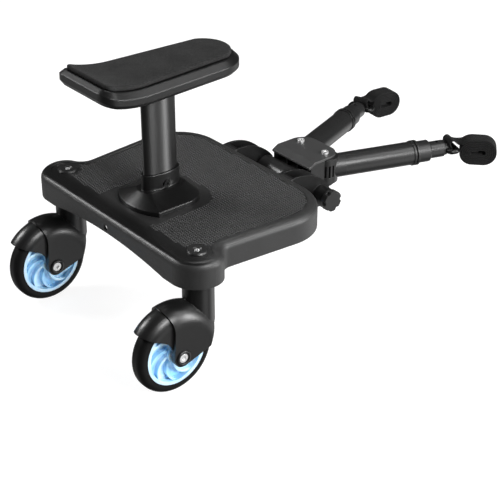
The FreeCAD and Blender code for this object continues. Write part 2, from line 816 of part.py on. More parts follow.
def make_fork(name, side):
    """Stem, broad hood and rear fender in one moulding, with axle and pin bores."""
    axle_z = s.wheel_radius
    hood = common(
        name + "_hood",
        turned(name + "_hood_disc", domed_disc(n.hood_radius, n.hood_half)),
        extruded(name + "_hood_side", "YZ_Plane", hood_outline(),
                 -s.hood_half - CLEAR, 2 * (s.hood_half + CLEAR)),
    )
    fender = common(
        name + "_fender",
        turned(name + "_fender_disc", domed_disc(n.fender_radius, n.fender_half)),
        extruded(name + "_fender_side", "YZ_Plane", fender_outline(), -s.hood_half, 2 * s.hood_half),
    )
    space = turned(name + "_wheel_space", wheel_space())
    for item in (hood, fender, space):
        put(item, 0, -s.trail, axle_z)
    stem_foot = axle_z + s.stem_overlap
    stem = rod(name + "_stem", s.stem_radius, stem_top - stem_foot, 0, 0, stem_foot)
    shell = cut(name + "_fork_shell", fused(name + "_fork_blank", hood, fender, stem), space)
    boss_face = s.tyre_half + s.free_gap
    boss_length = s.cavity_half - boss_face + s.hood_half / 4
    bosses = [
        rod(name + "_boss_right", s.axle_boss_radius, boss_length, boss_face, -s.trail, axle_z, "X"),
        rod(name + "_boss_left", s.axle_boss_radius, boss_length,
            -boss_face - boss_length, -s.trail, axle_z, "X"),
    ]
    seat = s.hood_half - s.recess_depth
    well = s.recess_depth + CLEAR
    holes = [
        rod(name + "_axle_bore", s.axle_radius, 2 * s.hood_half, -s.hood_half, -s.trail, axle_z, "X"),
        rod(name + "_head_well", s.recess_radius, well, seat, -s.trail, axle_z, "X"),
        rod(name + "_nut_well", s.recess_radius, well, -seat - well, -s.trail, axle_z, "X"),
        rod(name + "_pin_bore", s.kingpin_radius, s.kingpin_length, 0, 0,
            well_floor + s.free_gap - s.kingpin_length),
    ]
    fork = cut(name + "_fork", fused(name + "_fork_solid", shell, *bosses), *holes)
    keep(fork, name + "_caster_fork", s.caster_x * side, -s.caster_back)


# Wheels: the local origin is the middle of the axle

def hub_section():
    """Half section of the hub: boss with bearing seats, web and rim."""
    bore = n.spacer_radius + n.free_gap
    inner_rim = n.rim_radius - n.rim_thick
    seat = n.tyre_half - n.bearing_width
    right = [
        (n.web_half, n.hub_boss_radius),
        (n.tyre_half, n.hub_boss_radius),
        (n.tyre_half, n.bearing_radius),
        (seat, n.bearing_radius),
        (seat, bore),
    ]
    rim = [
        (n.web_half, inner_rim),
        (n.rim_half, inner_rim),
        (n.rim_half, n.rim_radius),
    ]
    half = list(reversed(rim)) + right
    return polygon(*half, *[(-x, r) for x, r in reversed(half)])


def blade_outline():
    """One swirl blade seen along the axle, from boss to rim."""
    inner = n.hub_boss_radius - n.web_half
    outer = n.rim_radius - n.rim_thick / 2
    middle = (inner + outer) / 2
    sweep, width = n.blade_sweep, n.blade_angle
    centre = (0, 0)
    root, mid, end = polar(centre, inner, 0), polar(centre, middle, 0.36 * sweep), polar(centre, outer, sweep)
    back_end = polar(centre, outer, sweep + width)
    back_mid = polar(centre, middle, 0.36 * sweep + 1.4 * width)
    back_root = polar(centre, inner, 2 * width)
    return [
        bend(root, mid, end),
        line(end, back_end),
        bend(back_end, back_mid, back_root),
        line(back_root, root),
    ]


def make_wheel(name, side):
    """Tyre, hub, two bearings and their spacer, with the axle bolt and nut."""
    place = {"x": s.caster_x * side, "y": -s.caster_back - s.trail, "z": s.wheel_radius}
    flank = n.wheel_radius - n.tyre_round
    crown = n.tyre_half - n.tyre_round
    tyre = turned(name + "_tyre_ring", [
        line((-n.tyre_half, n.rim_radius), (n.tyre_half, n.rim_radius)),
        line((n.tyre_half, n.rim_radius), (n.tyre_half, flank)),
        arc((crown, flank), n.tyre_round, 0, 90),
        line((crown, n.wheel_radius), (-crown, n.wheel_radius)),
        arc((-crown, flank), n.tyre_round, 90, 180),
        line((-n.tyre_half, flank), (-n.tyre_half, n.rim_radius)),
    ])
    keep(tyre, name + "_tyre", **place)
    hub = turned(name + "_hub_body", hub_section())
    blade_profile = sketch(hub, name + "_blade", "YZ_Plane", blade_outline(), -s.blade_half)
    blade = pad(hub, blade_profile, 2 * s.blade_half)
    doc.recompute()
    swirl = hub.newObject("PartDesign::PolarPattern", name + "_swirl")
    swirl.Originals = [blade]
    swirl.Axis = (blade.Profile[0], ["N_Axis"])
    swirl.Angle = 360
    bind(swirl, "Occurrences", s.blade_count)
    hub.Tip = swirl
    keep(hub, name + "_hub", **place)
    bore = s.axle_radius + s.running_gap
    inner_face = s.tyre_half - s.bearing_width
    bearings = group(
        name + "_bearing_pair",
        ring(name + "_bearing_a", s.bearing_radius, bore, s.bearing_width, inner_face, 0, 0, "X"),
        ring(name + "_bearing_b", s.bearing_radius, bore, s.bearing_width, -s.tyre_half, 0, 0, "X"),
    )
    keep(bearings, name + "_bearings", **place)
    spacer = ring(name + "_spacer_tube", s.spacer_radius, bore, 2 * inner_face, -inner_face, 0, 0, "X")
    keep(spacer, name + "_bearing_spacer", **place)
    seat = s.hood_half - s.recess_depth
    end = seat + s.axle_head_height
    bolt = fused(
        name + "_bolt_blank",
        rod(name + "_bolt_shank", s.axle_radius, end + seat, -end, 0, 0, "X"),
        rod(name + "_bolt_head", s.axle_head_radius, s.axle_head_height, seat, 0, 0, "X"),
    )
    key = hexagon(
        name + "_bolt_key", s.axle_head_radius / 2, s.axle_head_height,
        seat + s.axle_head_height / 2, 0, 0, "X")
    keep(cut(name + "_bolt", bolt, key), name + "_axle_bolt", **place)
    nut = cut(
        name + "_nut",
        hexagon(name + "_nut_body", s.axle_head_radius, s.axle_head_height, -end, 0, 0, "X"),
        rod(name + "_nut_bore", s.axle_radius, s.axle_head_height, -end, 0, 0, "X"),
    )
    keep(nut, name + "_axle_nut", **place)


# Seat base and post: the local origin is the post axis on the floor

collar_half_x = s.post_half_x + s.collar_wall
base_foot = field_top - s.base_recess
base_bolt_z = s.deck_top + s.base_bolt_rise
seat_bolt_z = s.seat_top - s.seat_bolt_drop


def socket_oval():
    """Oval bore that the post slips into."""
    return [oval(n.post_half_x + n.fit_gap, n.post_half_y + n.fit_gap)]


def collar_oval():
    """Oval outside of a socket."""
    return [oval(n.post_half_x + n.collar_wall, n.post_half_y + n.collar_wall)]


def make_seat_base():
    """Flange with upright edge, sloping shoulder and oval socket."""
    body = new_body("seat_base_body")
    edge_z = s.deck_top + s.base_edge
    foot = base_outline(n.base_half, n.base_side_back, n.base_rear, n.base_front, n.base_round)
    shoulder = base_outline(
        n.post_half_x + 2 * n.collar_wall,
        n.post_half_y,
        n.post_half_y + 2 * n.collar_wall,
        n.post_half_y + 2 * n.collar_wall,
        n.post_half_x,
    )
    pad(body, sketch(body, "base_foot", "XY_Plane", foot, base_foot), edge_z - base_foot)
    slope = body.newObject("PartDesign::AdditiveLoft", "base_slope")
    slope.Profile = sketch(body, "base_slope_foot", "XY_Plane", foot, edge_z)
    slope.Sections = [sketch(body, "base_slope_top", "XY_Plane", shoulder, s.deck_top + s.base_height)]
    slope.Ruled = True
    body.Tip = slope
    collar = sketch(body, "base_collar", "XY_Plane", collar_oval(), edge_z)
    pad(body, collar, s.collar_top - s.base_edge)
    socket = sketch(body, "base_socket", "XY_Plane", socket_oval(), s.deck_top + s.collar_top)
    pocket(body, socket, s.collar_top - s.post_foot)
    head_seat = collar_half_x - s.cross_head_height / 2
    holes = [
        rod("base_cross_bore", s.cross_radius, 2 * collar_half_x, -collar_half_x, 0, base_bolt_z, "X"),
        rod("base_head_well", s.cross_head_radius + s.free_gap, CLEAR, head_seat, 0, base_bolt_z, "X"),
        rod("base_nut_well", s.cross_head_radius + s.free_gap, CLEAR,
            -head_seat - CLEAR, 0, base_bolt_z, "X"),
    ]
    for index, (x, y) in enumerate(base_screw_places()):
        holes.append(rod(
            f"base_screw_hole_{index}", s.base_screw_radius, s.base_edge + s.base_recess, x, y, base_foot))
    keep(cut("seat_base_solid", body, *holes), "seat_base")


def cross_bolt(name, z):
    """Bolt and nut through a socket and the post, head on the right."""
    seat = collar_half_x - s.cross_head_height / 2
    bolt = cut(
        name + "_bolt",
        fused(
            name + "_bolt_blank",
            rod(name + "_shank", s.cross_radius, 2 * seat + s.cross_head_height,
                -seat - s.cross_head_height, 0, z, "X"),
            rod(name + "_head", s.cross_head_radius, s.cross_head_height, seat, 0, z, "X"),
        ),
        hexagon(name + "_key", s.cross_head_radius / 2, s.cross_head_height,
                seat + s.cross_head_height / 2, 0, z, "X"),
    )
    nut_start = -seat - s.cross_head_height
    nut = cut(
        name + "_nut",
        hexagon(name + "_nut_body", s.cross_head_radius, s.cross_head_height, nut_start, 0, z, "X"),
        rod(name + "_nut_bore", s.cross_radius, s.cross_head_height, nut_start, 0, z, "X"),
    )
    keep(bolt, name + "_cross_bolt")
    keep(nut, name + "_cross_nut")


def make_post():
    """Oval tube between the two sockets, with its cross holes."""
    foot = s.deck_top + s.post_foot
    wall = [
        oval(n.post_half_x, n.post_half_y),
        oval(n.post_half_x - n.post_wall, n.post_half_y - n.post_wall),
    ]
    tube = extruded("post_tube", "XY_Plane", wall, foot, s.seat_top - s.post_top_drop - foot)
    holes = [
        rod(name + "_post_hole", s.cross_radius, 2 * collar_half_x, -collar_half_x, 0, z, "X")
        for name, z in (("lower", base_bolt_z), ("upper", seat_bolt_z))
    ]
    keep(cut("post_solid", tube, *holes), "seat_post")


def make_base_screws():
    """Four screws that come up through the deck into the seat base."""
    screws = []
    head_z = plate_under - s.screw_boss_depth - s.base_screw_radius
    for index, (x, y) in enumerate(base_screw_places()):
        top = s.deck_top + s.base_edge
        screws.append(fused(
            f"base_screw_{index}",
            rod(f"base_screw_shank_{index}", s.base_screw_radius,
                top - head_z - s.base_edge / 2, x, y, head_z),
            rod(f"base_screw_head_{index}", s.base_screw_head, s.base_screw_radius, x, y, head_z),
        ))
    keep(group("base_screw_set", *screws), "seat_base_screws")


# Seat

def seat_outline(inset=0.0):
    """The seat from above: broad rear with round corners, tapering to a round nose."""
    rear = (n.seat_half - n.seat_rear_round, n.seat_rear_round - n.seat_rear)
    nose = (0, n.seat_front - n.seat_nose)
    tilt = lean(rear, nose, n.seat_nose - n.seat_rear_round)
    rear_y = inset - n.seat_rear
    corner = n.seat_rear_round - inset
    front = n.seat_nose - inset
    return mirrored([
        line((0, rear_y), (rear[0], rear_y)),
        arc(rear, corner, -90, tilt),
        line(polar(rear, corner, tilt), polar(nose, front, tilt)),
        arc(nose, front, tilt, 90),
    ])


def seat_side(height, far):
    """Region of the side view between the seat's long line at a height and a far level."""
    front = n.seat_front + CLEAR
    rear = -n.seat_rear
    start = -n.seat_rise_back
    run = start - rear
    radius = (run * run + n.seat_rise * n.seat_rise) / (2 * n.seat_rise)
    centre = (start, height + radius)
    end = math.degrees(math.atan2(n.seat_rise - radius, -run))
    tail = (rear - CLEAR, height + n.seat_rise)
    return [
        line((front, height), (start, height)),
        arc(centre, radius, end, -90),
        line(polar(centre, radius, end), tail),
        line(tail, (tail[0], far)),
        line((tail[0], far), (front, far)),
        line((front, far), (front, height)),
    ]


def between(body, low, high):
    """Leave only the layer of a body between two of the seat's long lines."""
    above = high + 4 * n.shell_depth
    below = low - 4 * n.shell_depth
    pocket(body, sketch(body, body.Name + "_above", "YZ_Plane", seat_side(high, above)))
    pocket(body, sketch(body, body.Name + "_below", "YZ_Plane", seat_side(low, below)))


def on_top(height):
    """Test for edges of the seat's upper or lower face at a height, lifted rear included."""
    def wanted(edge):
        points = [edge.valueAt(p) for p in edge.ParameterRange]
        across = edge.BoundBox.YLength < 0.01 and abs(points[0].y + n.seat_rise_back) < 0.01
        return not across and all(abs(p.z - seat_line(p.y, height)) < 0.01 for p in points)
    return wanted


def seat_line(y, height):
    """Height of the seat's long line at a distance along the seat."""
    back = -n.seat_rise_back - y
    if back <= 0:
        return height
    run = n.seat_rear - n.seat_rise_back
    radius = (run * run + n.seat_rise * n.seat_rise) / (2 * n.seat_rise)
    if back >= run:
        return height + n.seat_rise
    return height + radius - math.sqrt(radius * radius - back * back)


def make_seat_shell():
    """Hollow moulded shell with bevelled edges, lifted rear and a socket for the post."""
    body = new_body("seat_shell_body")
    low = n.seat_top - n.shell_depth
    start = s.seat_top - 2 * s.shell_depth
    pad(body, sketch(body, "shell_plan", "XY_Plane", seat_outline(), start), 4 * s.shell_depth)
    between(body, low, n.seat_top)
    dress(body, "Chamfer", s.shell_bevel, on_top(n.seat_top))
    dress(body, "Chamfer", s.shell_under, on_top(low))
    hollow = sketch(body, "shell_hollow", "XY_Plane", seat_outline(n.shell_rim), start)
    pocket(body, hollow, 2 * s.shell_depth - s.shell_skin, upwards=True)
    socket_foot = s.seat_top - s.seat_socket_drop
    boss = sketch(body, "shell_boss", "XY_Plane", collar_oval(), socket_foot)
    pad(body, boss, s.seat_socket_drop - s.shell_skin / 2)
    socket = sketch(body, "shell_socket", "XY_Plane", socket_oval(), socket_foot)
    pocket(body, socket, s.seat_socket_drop - s.post_top_drop, upwards=True)
    head_seat = collar_half_x - s.cross_head_height / 2
    holes = [
        rod("seat_cross_bore", s.cross_radius, 2 * collar_half_x, -collar_half_x, 0, seat_bolt_z, "X"),
        rod("seat_head_well", s.cross_head_radius + s.free_gap, CLEAR, head_seat, 0, seat_bolt_z, "X"),
        rod("seat_nut_well", s.cross_head_radius + s.free_gap, CLEAR,
            -head_seat - CLEAR, 0, seat_bolt_z, "X"),
    ]
    keep(cut("seat_shell_solid", body, *holes), "seat_shell")


def make_seat_pad():
    """Foam pad that follows the top of the shell."""
    body = new_body("seat_pad_body")
    start = s.seat_top - s.shell_depth
    pad(body, sketch(body, "pad_plan", "XY_Plane", seat_outline(n.pad_inset), start), 3 * s.shell_depth)
    top = n.seat_top + n.free_gap + n.pad_thick
    between(body, n.seat_top + n.free_gap, top)
    dress(body, "Fillet", s.pad_round, on_top(top))
    keep(body, "seat_pad")


# Hinge between the board and the arm bracket

def make_hinge():
    """Hinge bolt, its two washers and the clamp knob on the right."""
    boss_face = s.ear_outer + s.knob_boss_length
    knob_start = boss_face + s.free_gap
    bolt_end = knob_start + s.knob_length / 2
    place = {"y": s.hinge_ahead, "z": s.hinge_z}
    bolt = fused(
        "hinge_bolt_blank",
        rod("hinge_shank", s.hinge_radius, s.ear_outer + bolt_end, -s.ear_outer, 0, 0, "X"),
        hexagon("hinge_head", s.hinge_head_radius, s.hinge_head_height,
                -s.ear_outer - s.hinge_head_height, 0, 0, "X"),
    )
    keep(bolt, "hinge_bolt", **place)
    bore = s.hinge_radius + s.running_gap
    rim = s.barrel_radius - s.ear_wall
    thick = s.ear_inner - s.free_gap
    washers = group(
        "hinge_washer_pair",
        ring("hinge_washer_right", rim, bore, thick, s.barrel_half + s.free_gap, 0, 0, "X"),
        ring("hinge_washer_left", rim, bore, thick, -ear_face, 0, 0, "X"),
    )
    keep(washers, "hinge_washers", **place)
    knob = new_body("knob_body")
    disc = sketch(knob, "knob_disc", "YZ_Plane", [circle((0, 0), n.knob_radius)], knob_start)
    pad(knob, disc, s.knob_length)
    notch = circle((n.knob_radius + n.knob_notch / 3, 0), n.knob_notch)
    notch_profile = sketch(knob, "knob_notch_cut", "YZ_Plane", [notch], knob_start + s.knob_length)
    first = pocket(knob, notch_profile, s.knob_length - s.knob_notch)
    grip = knob.newObject("PartDesign::PolarPattern", "knob_grip")
    grip.Originals = [first]
    grip.Axis = (notch_profile, ["N_Axis"])
    grip.Angle = 360
    bind(grip, "Occurrences", s.knob_lobes)
    knob.Tip = grip
    bored = cut(
        "knob_bored", knob, rod("knob_bore", bore, bolt_end - knob_start + s.free_gap, knob_start, 0, 0, "X"))
    keep(bored, "clamp_knob", **place)


# Bracket that carries the two arms: the local origin is the hinge axis

arm_rise = s.arm_z - s.hinge_z
plate_rise = s.plate_top - s.hinge_z
pivot_run = s.pivot_ahead - s.hinge_ahead
plate_low = plate_rise - s.plate_thick
floor_top = 2 * arm_rise - plate_low


def plate_outline(inset=0.0):
    """Bracket plate from above: straight sides, round front corners."""
    half = n.barrel_half - n.bracket_half - inset
    pivots = n.pivot_ahead - n.hinge_ahead
    front = pivots + n.plate_front - inset
    back = pivots - n.plate_back + inset
    rounding = n.plate_round
    corner = (half - rounding, front - rounding)
    return mirrored([
        line((0, back), (half, back)),
        line((half, back), (half, corner[1])),
        arc(corner, rounding, 0, 90),
        line((corner[0], front), (0, front)),
    ])


def fold_places():
    """Back edge and fold line of the plate, as Y."""
    back = n.pivot_ahead - n.hinge_ahead - n.plate_back
    return back, back + n.plate_bevel


def bracket_outline(foot):
    """Bracket body from the side, as Y and Z, up to the plate's underside."""
    top = n.plate_top - n.hinge_z
    back, fold = fold_places()
    front = n.pivot_ahead - n.hinge_ahead
    rear = back + n.plate_thick + n.free_gap
    return polygon(
        (front, foot),
        (front, top - n.plate_thick),
        (fold + n.plate_thick / 2, top - n.plate_thick),
        (rear, top - n.plate_drop - n.plate_thick / 2 - n.free_gap),
        (rear, foot),
    )


def make_bracket():
    """Moulded bracket: barrel, body with windows, floor below the arm roots and a middle post."""
    floor_low = floor_top - s.bracket_floor
    back = s.plate_back - s.plate_thick - s.free_gap
    wall_start = pivot_run - back
    height = plate_low - floor_low
    half = s.barrel_half - s.bracket_half
    solids = [
        rod("bracket_barrel", s.barrel_radius, 2 * s.barrel_half, -s.barrel_half, 0, 0, "X"),
        extruded("bracket_floor_plate", "XY_Plane", plate_outline(), floor_low, s.bracket_floor),
        extruded("bracket_wall", "YZ_Plane", bracket_outline(floor_low.number), -half, 2 * half),
        box("bracket_neck", 2 * half, wall_start + CLEAR, s.barrel_radius / 2 + arm_rise,
            -half, 0, -s.barrel_radius / 2),
        box("bracket_post", s.pivot_x, back / 2 + s.root_radius / 3, height,
            -s.pivot_x / 2, pivot_run - back / 2, floor_low),
    ]
    bore = s.hinge_radius + s.running_gap
    holes = [rod("barrel_bore", bore, 2 * (s.barrel_half + CLEAR), -s.barrel_half - CLEAR, 0, 0, "X")]
    for index in (-1, 0, 1):
        x = (s.window_width + s.rib_thick) * index - s.window_width / 2
        holes.append(box(
            f"bracket_window_{index + 1}", s.window_width, s.window_depth + CLEAR, s.window_height,
            x, wall_start - CLEAR, arm_rise + s.rib_thick))
    for name, side in SIDES:
        x = s.pivot_x * side
        hole = s.bracket_floor + 2 * CLEAR
        holes.append(rod(name + "_root_space", s.root_radius + s.free_gap, height, x, pivot_run, floor_top))
        holes.append(rod(name + "_pivot_hole", s.pivot_radius, hole, x, pivot_run, floor_low - CLEAR))
    body = cut("bracket_solid", fused("bracket_blank", *solids), *holes)
    keep(body, "arm_bracket", 0, s.hinge_ahead, s.hinge_z)


def make_plate():
    """Steel plate over the arm roots, folded down along its back edge."""
    thick = n.plate_thick
    top = n.plate_top - n.hinge_z
    front = n.pivot_ahead - n.hinge_ahead + n.plate_front + CLEAR
    back, fold = fold_places()
    drop = n.plate_drop
    side = polygon(
        (front, top),
        (fold, top),
        (back, top - drop),
        (back, top - drop - n.plate_lip),
        (back + thick, top - drop - n.plate_lip),
        (back + thick, top - drop - thick / 2),
        (fold + thick / 2, top - thick),
        (front, top - thick),
    )
    half = s.barrel_half - s.bracket_half
    solid = common(
        "plate_blank",
        extruded("plate_side", "YZ_Plane", side, -half, 2 * half),
        extruded("plate_plan", "XY_Plane", plate_outline(), 0, plate_rise + CLEAR),
    )
    holes = [
        rod(name + "_plate_hole", s.pivot_radius, 2 * s.plate_thick, s.pivot_x * sign, pivot_run,
            plate_rise - 1.5 * s.plate_thick)
        for name, sign in SIDES
    ]
    keep(cut("plate_solid", solid, *holes), "bracket_plate", 0, s.hinge_ahead, s.hinge_z)


def make_pivots():
    """Two pivot screws with their nuts below the bracket floor."""
    floor_low = floor_top - s.bracket_floor
    screws, nuts = [], []
    for name, side in SIDES:
        x = s.pivot_x * side
        nut_low = floor_low - s.pivot_head_height
        screws.append(cut(
            name + "_pivot_screw",
            fused(
                name + "_pivot_blank",
                rod(name + "_pivot_shank", s.pivot_radius, plate_rise - nut_low, x, pivot_run, nut_low),
                rod(name + "_pivot_head", s.pivot_head_radius, s.pivot_head_height, x, pivot_run, plate_rise),
            ),
            hexagon(name + "_pivot_key", s.pivot_head_radius / 2, s.pivot_head_height, x, pivot_run,
                    plate_rise + s.pivot_head_height / 3),
        ))
        nuts.append(cut(
            name + "_pivot_nut",
            hexagon(name + "_pivot_nut_body", s.pivot_head_radius, s.pivot_head_height,
                    x, pivot_run, nut_low),
            rod(name + "_pivot_nut_bore", s.pivot_radius, s.pivot_head_height, x, pivot_run, nut_low),
        ))
    keep(group("pivot_screw_pair", *screws), "pivot_screws", 0, s.hinge_ahead, s.hinge_z)
    keep(group("pivot_nut_pair", *nuts), "pivot_nuts", 0, s.hinge_ahead, s.hinge_z)


# Arms: local +Y runs along the arm from its pivot, and Z is up

tube_end = s.tube_start + s.tube_length
collar_end = tube_end + s.collar_length
inner_from = s.tube_start + s.plug_length + s.inner_start
inner_end = tube_end + s.inner_length
ring_near = inner_end + s.ring_neck
ring_far = ring_near + s.ring_reach


def arm_place(side):
    """Place of one arm in the board's frame."""
    return {"x": s.pivot_x * side, "y": s.pivot_ahead, "z": s.arm_z, "turn": -side * n.arm_splay}


def make_arm_root(name, side):
    """Upright root on the pivot screw, slotted outside, with a plug for the tube."""
    plug_radius = s.tube_radius - s.tube_wall
    root_half = (s.plate_top - s.plate_thick) - s.arm_z - s.free_gap
    solids = [
        rod(name + "_root_drum", s.root_radius, 2 * root_half, 0, 0, -root_half),
        rod(name + "_root_neck", s.tube_radius, s.tube_start, 0, 0, 0, "Y"),
        rod(name + "_root_plug", plug_radius, s.tube_start + s.plug_length, 0, 0, 0, "Y"),
    ]
    holes = [
        rod(name + "_root_bore", s.pivot_radius + s.running_gap,
            2 * (root_half + CLEAR), 0, 0, -root_half - CLEAR),
    ]
    for index, angle in enumerate((-18, 0, 18)):
        slot = box(
            f"{name}_slot_{index}", s.slot_depth + CLEAR, s.slot_width, root_half,
            s.root_radius - s.slot_depth, -s.slot_width / 2, -root_half / 2)
        slot_turn = angle if side > 0 else 180 - angle
        turned_slot = group(f"{name}_slot_turned_{index}", slot)
        turned_slot.Placement = Placement(Vector(), Rotation(Vector(0, 0, 1), slot_turn))
        holes.append(turned_slot)
    root = cut(name + "_root", fused(name + "_root_blank", *solids), *holes)
    keep(root, name + "_arm_root", **arm_place(side))


def make_outer_tube(name, side):
    """Plain round tube between root and collar."""
    tube = ring(
        name + "_tube", s.tube_radius, s.tube_radius - s.tube_wall, s.tube_length, 0, s.tube_start, 0, "Y")
    keep(tube, name + "_outer_tube", **arm_place(side))


def make_collar(name, side):
    """Ribbed sleeve in the tube's end that guides the inner tube."""
    inside = n.tube_radius - n.tube_wall
    bore = n.inner_radius + n.free_gap
    start = n.tube_start + n.tube_length
    rib = n.tube_radius + n.collar_rib
    body = n.tube_radius - n.collar_rib
    end = start + n.collar_length
    bevel = n.tube_wall
    steps = [
        (bore, start - n.collar_inside),
        (inside, start - n.collar_inside),
        (inside, start),
        (rib, start),
        (rib, start + n.rib_width),
        (body, start + n.rib_width),
        (body, start + 1.7 * n.rib_width),
        (rib, start + 1.7 * n.rib_width),
        (rib, start + 2.7 * n.rib_width),
        (body, start + 2.7 * n.rib_width),
        (body, end - bevel),
        (body - bevel, end),
        (bore, end),
    ]
    sleeve = turned(name + "_collar_ring", polygon(*steps), "XY_Plane", "V_Axis")
    keep(sleeve, name + "_arm_collar", **arm_place(side))


def make_inner_tube(name, side):
    """Telescopic tube with a bevelled end and an index hole on top."""
    start = inner_from.number
    end = inner_end.number
    bore = n.inner_radius - n.tube_wall
    bevel = 0.6 * n.tube_wall
    tube = turned(name + "_inner_wall", polygon(
        (bore, start),
        (n.inner_radius, start),
        (n.inner_radius, end - bevel),
        (n.inner_radius - bevel, end),
        (bore, end),
    ), "XY_Plane", "V_Axis")
    hole = rod(name + "_index_hole", s.index_radius, s.inner_radius + CLEAR, 0, inner_end - s.index_back, 0)
    keep(cut(name + "_inner", tube, hole), name + "_inner_tube", **arm_place(side))


def ring_corner(name, x, y, turn):
    """Quarter of a round bar bent about the Z axis."""
    item = doc.addObject("Part::Torus", name)
    bind(item, "Radius1", s.ring_round)
    bind(item, "Radius2", s.ring_bar)
    item.Angle3 = 90
    return put(item, x, y, 0, Rotation(Vector(0, 0, 1), turn))


def make_strap_ring(name, side):
    """Flat ring that the strap is threaded through, on a plug in the inner tube."""
    reach = s.ring_half - s.ring_round
    low = ring_near + s.ring_round
    high = ring_far - s.ring_round
    bars = [
        rod(name + "_near_bar", s.ring_bar, 2 * reach, -reach, ring_near, 0, "X"),
        rod(name + "_far_bar", s.ring_bar, 2 * reach, -reach, ring_far, 0, "X"),
        rod(name + "_left_bar", s.ring_bar, high - low, -s.ring_half, low, 0, "Y"),
        rod(name + "_right_bar", s.ring_bar, high - low, s.ring_half, low, 0, "Y"),
        ring_corner(name + "_front_right", reach, high, 0),
        ring_corner(name + "_front_left", -reach, high, 90),
        ring_corner(name + "_back_left", -reach, low, 180),
        ring_corner(name + "_back_right", reach, low, 270),
        rod(name + "_ring_plug", s.inner_radius - s.tube_wall, s.ring_plug + s.ring_neck,
            0, inner_end - s.ring_plug, 0, "Y"),
    ]
    index = rod(
        name + "_ring_index", s.index_radius, s.inner_radius, 0, inner_end - s.index_back, s.inner_radius / 3)
    solid = cut(name + "_ring_solid", fused(name + "_ring_blank", *bars), index)
    keep(solid, name + "_strap_ring", **arm_place(side))


class Trail:
    """A route walked in straight runs and turns in the YZ plane, kept as the two sides of a band."""

    def __init__(self, at, heading, thickness):
        self.at = at
        self.heading = heading
        self.half = thickness / 2
        self.sides = {1: [], -1: []}
        self.middle = []
        self.length = 0.0

    def direction(self, turn=0.0):
        """Unit vector at an angle to the heading."""
        angle = math.radians(self.heading + turn)
        return Vector(0, math.cos(angle), math.sin(angle))

    def run(self, length):
        """Walk straight ahead."""
        end = self.at + self.direction() * length
        for side, edges in self.sides.items():
            shift = self.direction(90) * (side * self.half)
            edges.append(Part.LineSegment(self.at + shift, end + shift))
        self.middle.append((Part.LineSegment(self.at, end), length))
        self.at = end
        self.length += length

    def turn(self, radius, degrees):
        """Walk along an arc, to the left for a positive angle."""
        hand = 1 if degrees > 0 else -1
        centre = self.at + self.direction(90 * hand) * radius
        spoke = self.at - centre
        stops = [Rotation(Vector(1, 0, 0), degrees * part).multVec(spoke) for part in (0, 0.5, 1)]
        for side, edges in self.sides.items():
            scale = (radius - hand * side * self.half) / radius
            edges.append(Part.Arc(*[centre + stop * scale for stop in stops]))
        length = radius * math.radians(abs(degrees))
        self.middle.append((Part.Arc(*[centre + stop for stop in stops]), length))
        self.at = centre + stops[2]
        self.heading += degrees
        self.length += length

    def face(self):
        """The band between the two sides."""
        left, right = self.sides[1], self.sides[-1]
        caps = [
            Part.LineSegment(left[0].StartPoint, right[0].StartPoint),
            Part.LineSegment(left[-1].EndPoint, right[-1].EndPoint),
        ]
        edges = Part.sortEdges([edge.toShape() for edge in left + right + caps])[0]
        return Part.Face(Part.Wire(edges))

    def least_gap(self):
        """Least space between stretches of the band that aren't neighbours along it."""
        points, place, step = [], 0.0, 0.5
        for edge, length in self.middle:
            count = max(1, round(length / step))
            first, last = edge.FirstParameter, edge.LastParameter
            for index in range(count):
                part = index / count
                points.append((edge.value(first + (last - first) * part), place + length * part))
            place += length
        least = self.length
        apart = 8 * self.half
        for index, (point, along) in enumerate(points):
            for other, further in points[index + 1:]:
                if further - along > apart:
                    least = min(least, point.distanceToPoint(other))
        return least - 2 * self.half


def strap_far():
    """The ring's far bar from the arm's pivot."""
    return ring_far.number


def strap_loop():
    """Round the ring's far bar from below, up through the ring and over."""
    wrap = n.ring_bar + n.free_gap + n.strap_thick / 2
    start = polar((strap_far(), 0), wrap, -90 - n.tail_turn)
    trail = Trail(Vector(-n.strap_width / 2, *start), 180 - n.tail_turn, n.strap_thick)
    trail.turn(wrap, n.loop_lean + n.tail_turn - 90)
    trail.run(n.loop_lift)
    trail.turn(n.loop_radius, -90 - n.loop_lean - n.loop_steep)
    trail.run(n.loop_drop)
    return trail


def strap_roll():
    """The loops of the roll, each half loop half a pitch tighter than the last."""
    pitch = n.strap_thick + n.strap_gap
    half_loops = 2 * round(n.strap_loops)
    outer = n.roll_core + (half_loops - 1) * pitch / 2
    first = outer + pitch / 2
    centre = (strap_far() + n.roll_ahead - n.roll_half, -n.roll_drop - pitch / 2)
    start = polar(centre, first, 90 + n.roll_entry)
    trail = Trail(Vector(-n.strap_width / 2, *start), n.roll_entry, n.strap_thick)
    trail.turn(first, -n.roll_entry)
    for index in range(half_loops):
        trail.run(2 * n.roll_half)
        radius = outer - index * pitch / 2
        trail.turn(radius, -90)
        trail.turn(radius, -90)
    trail.run(n.roll_half)
    return trail


def swung(point, swing):
    """A point turned about the upright line through the middle of the far bar."""
    pivot = Vector(0, strap_far(), 0)
    return pivot + Rotation(Vector(0, 0, 1), -swing).multVec(point - pivot)


def across(place, heading, swing):
    """Cross-section of the webbing at a place of its route, swung sideways."""
    slope = math.radians(heading)
    rise = Vector(0, -math.sin(slope), math.cos(slope)) * (n.strap_thick / 2)
    reach = Vector(n.strap_width / 2, 0, 0)
    corners = [place + reach + rise, place - reach + rise, place - reach - rise, place + reach - rise]
    return Part.makePolygon([swung(corner, swing) for corner in corners + corners[:1]])


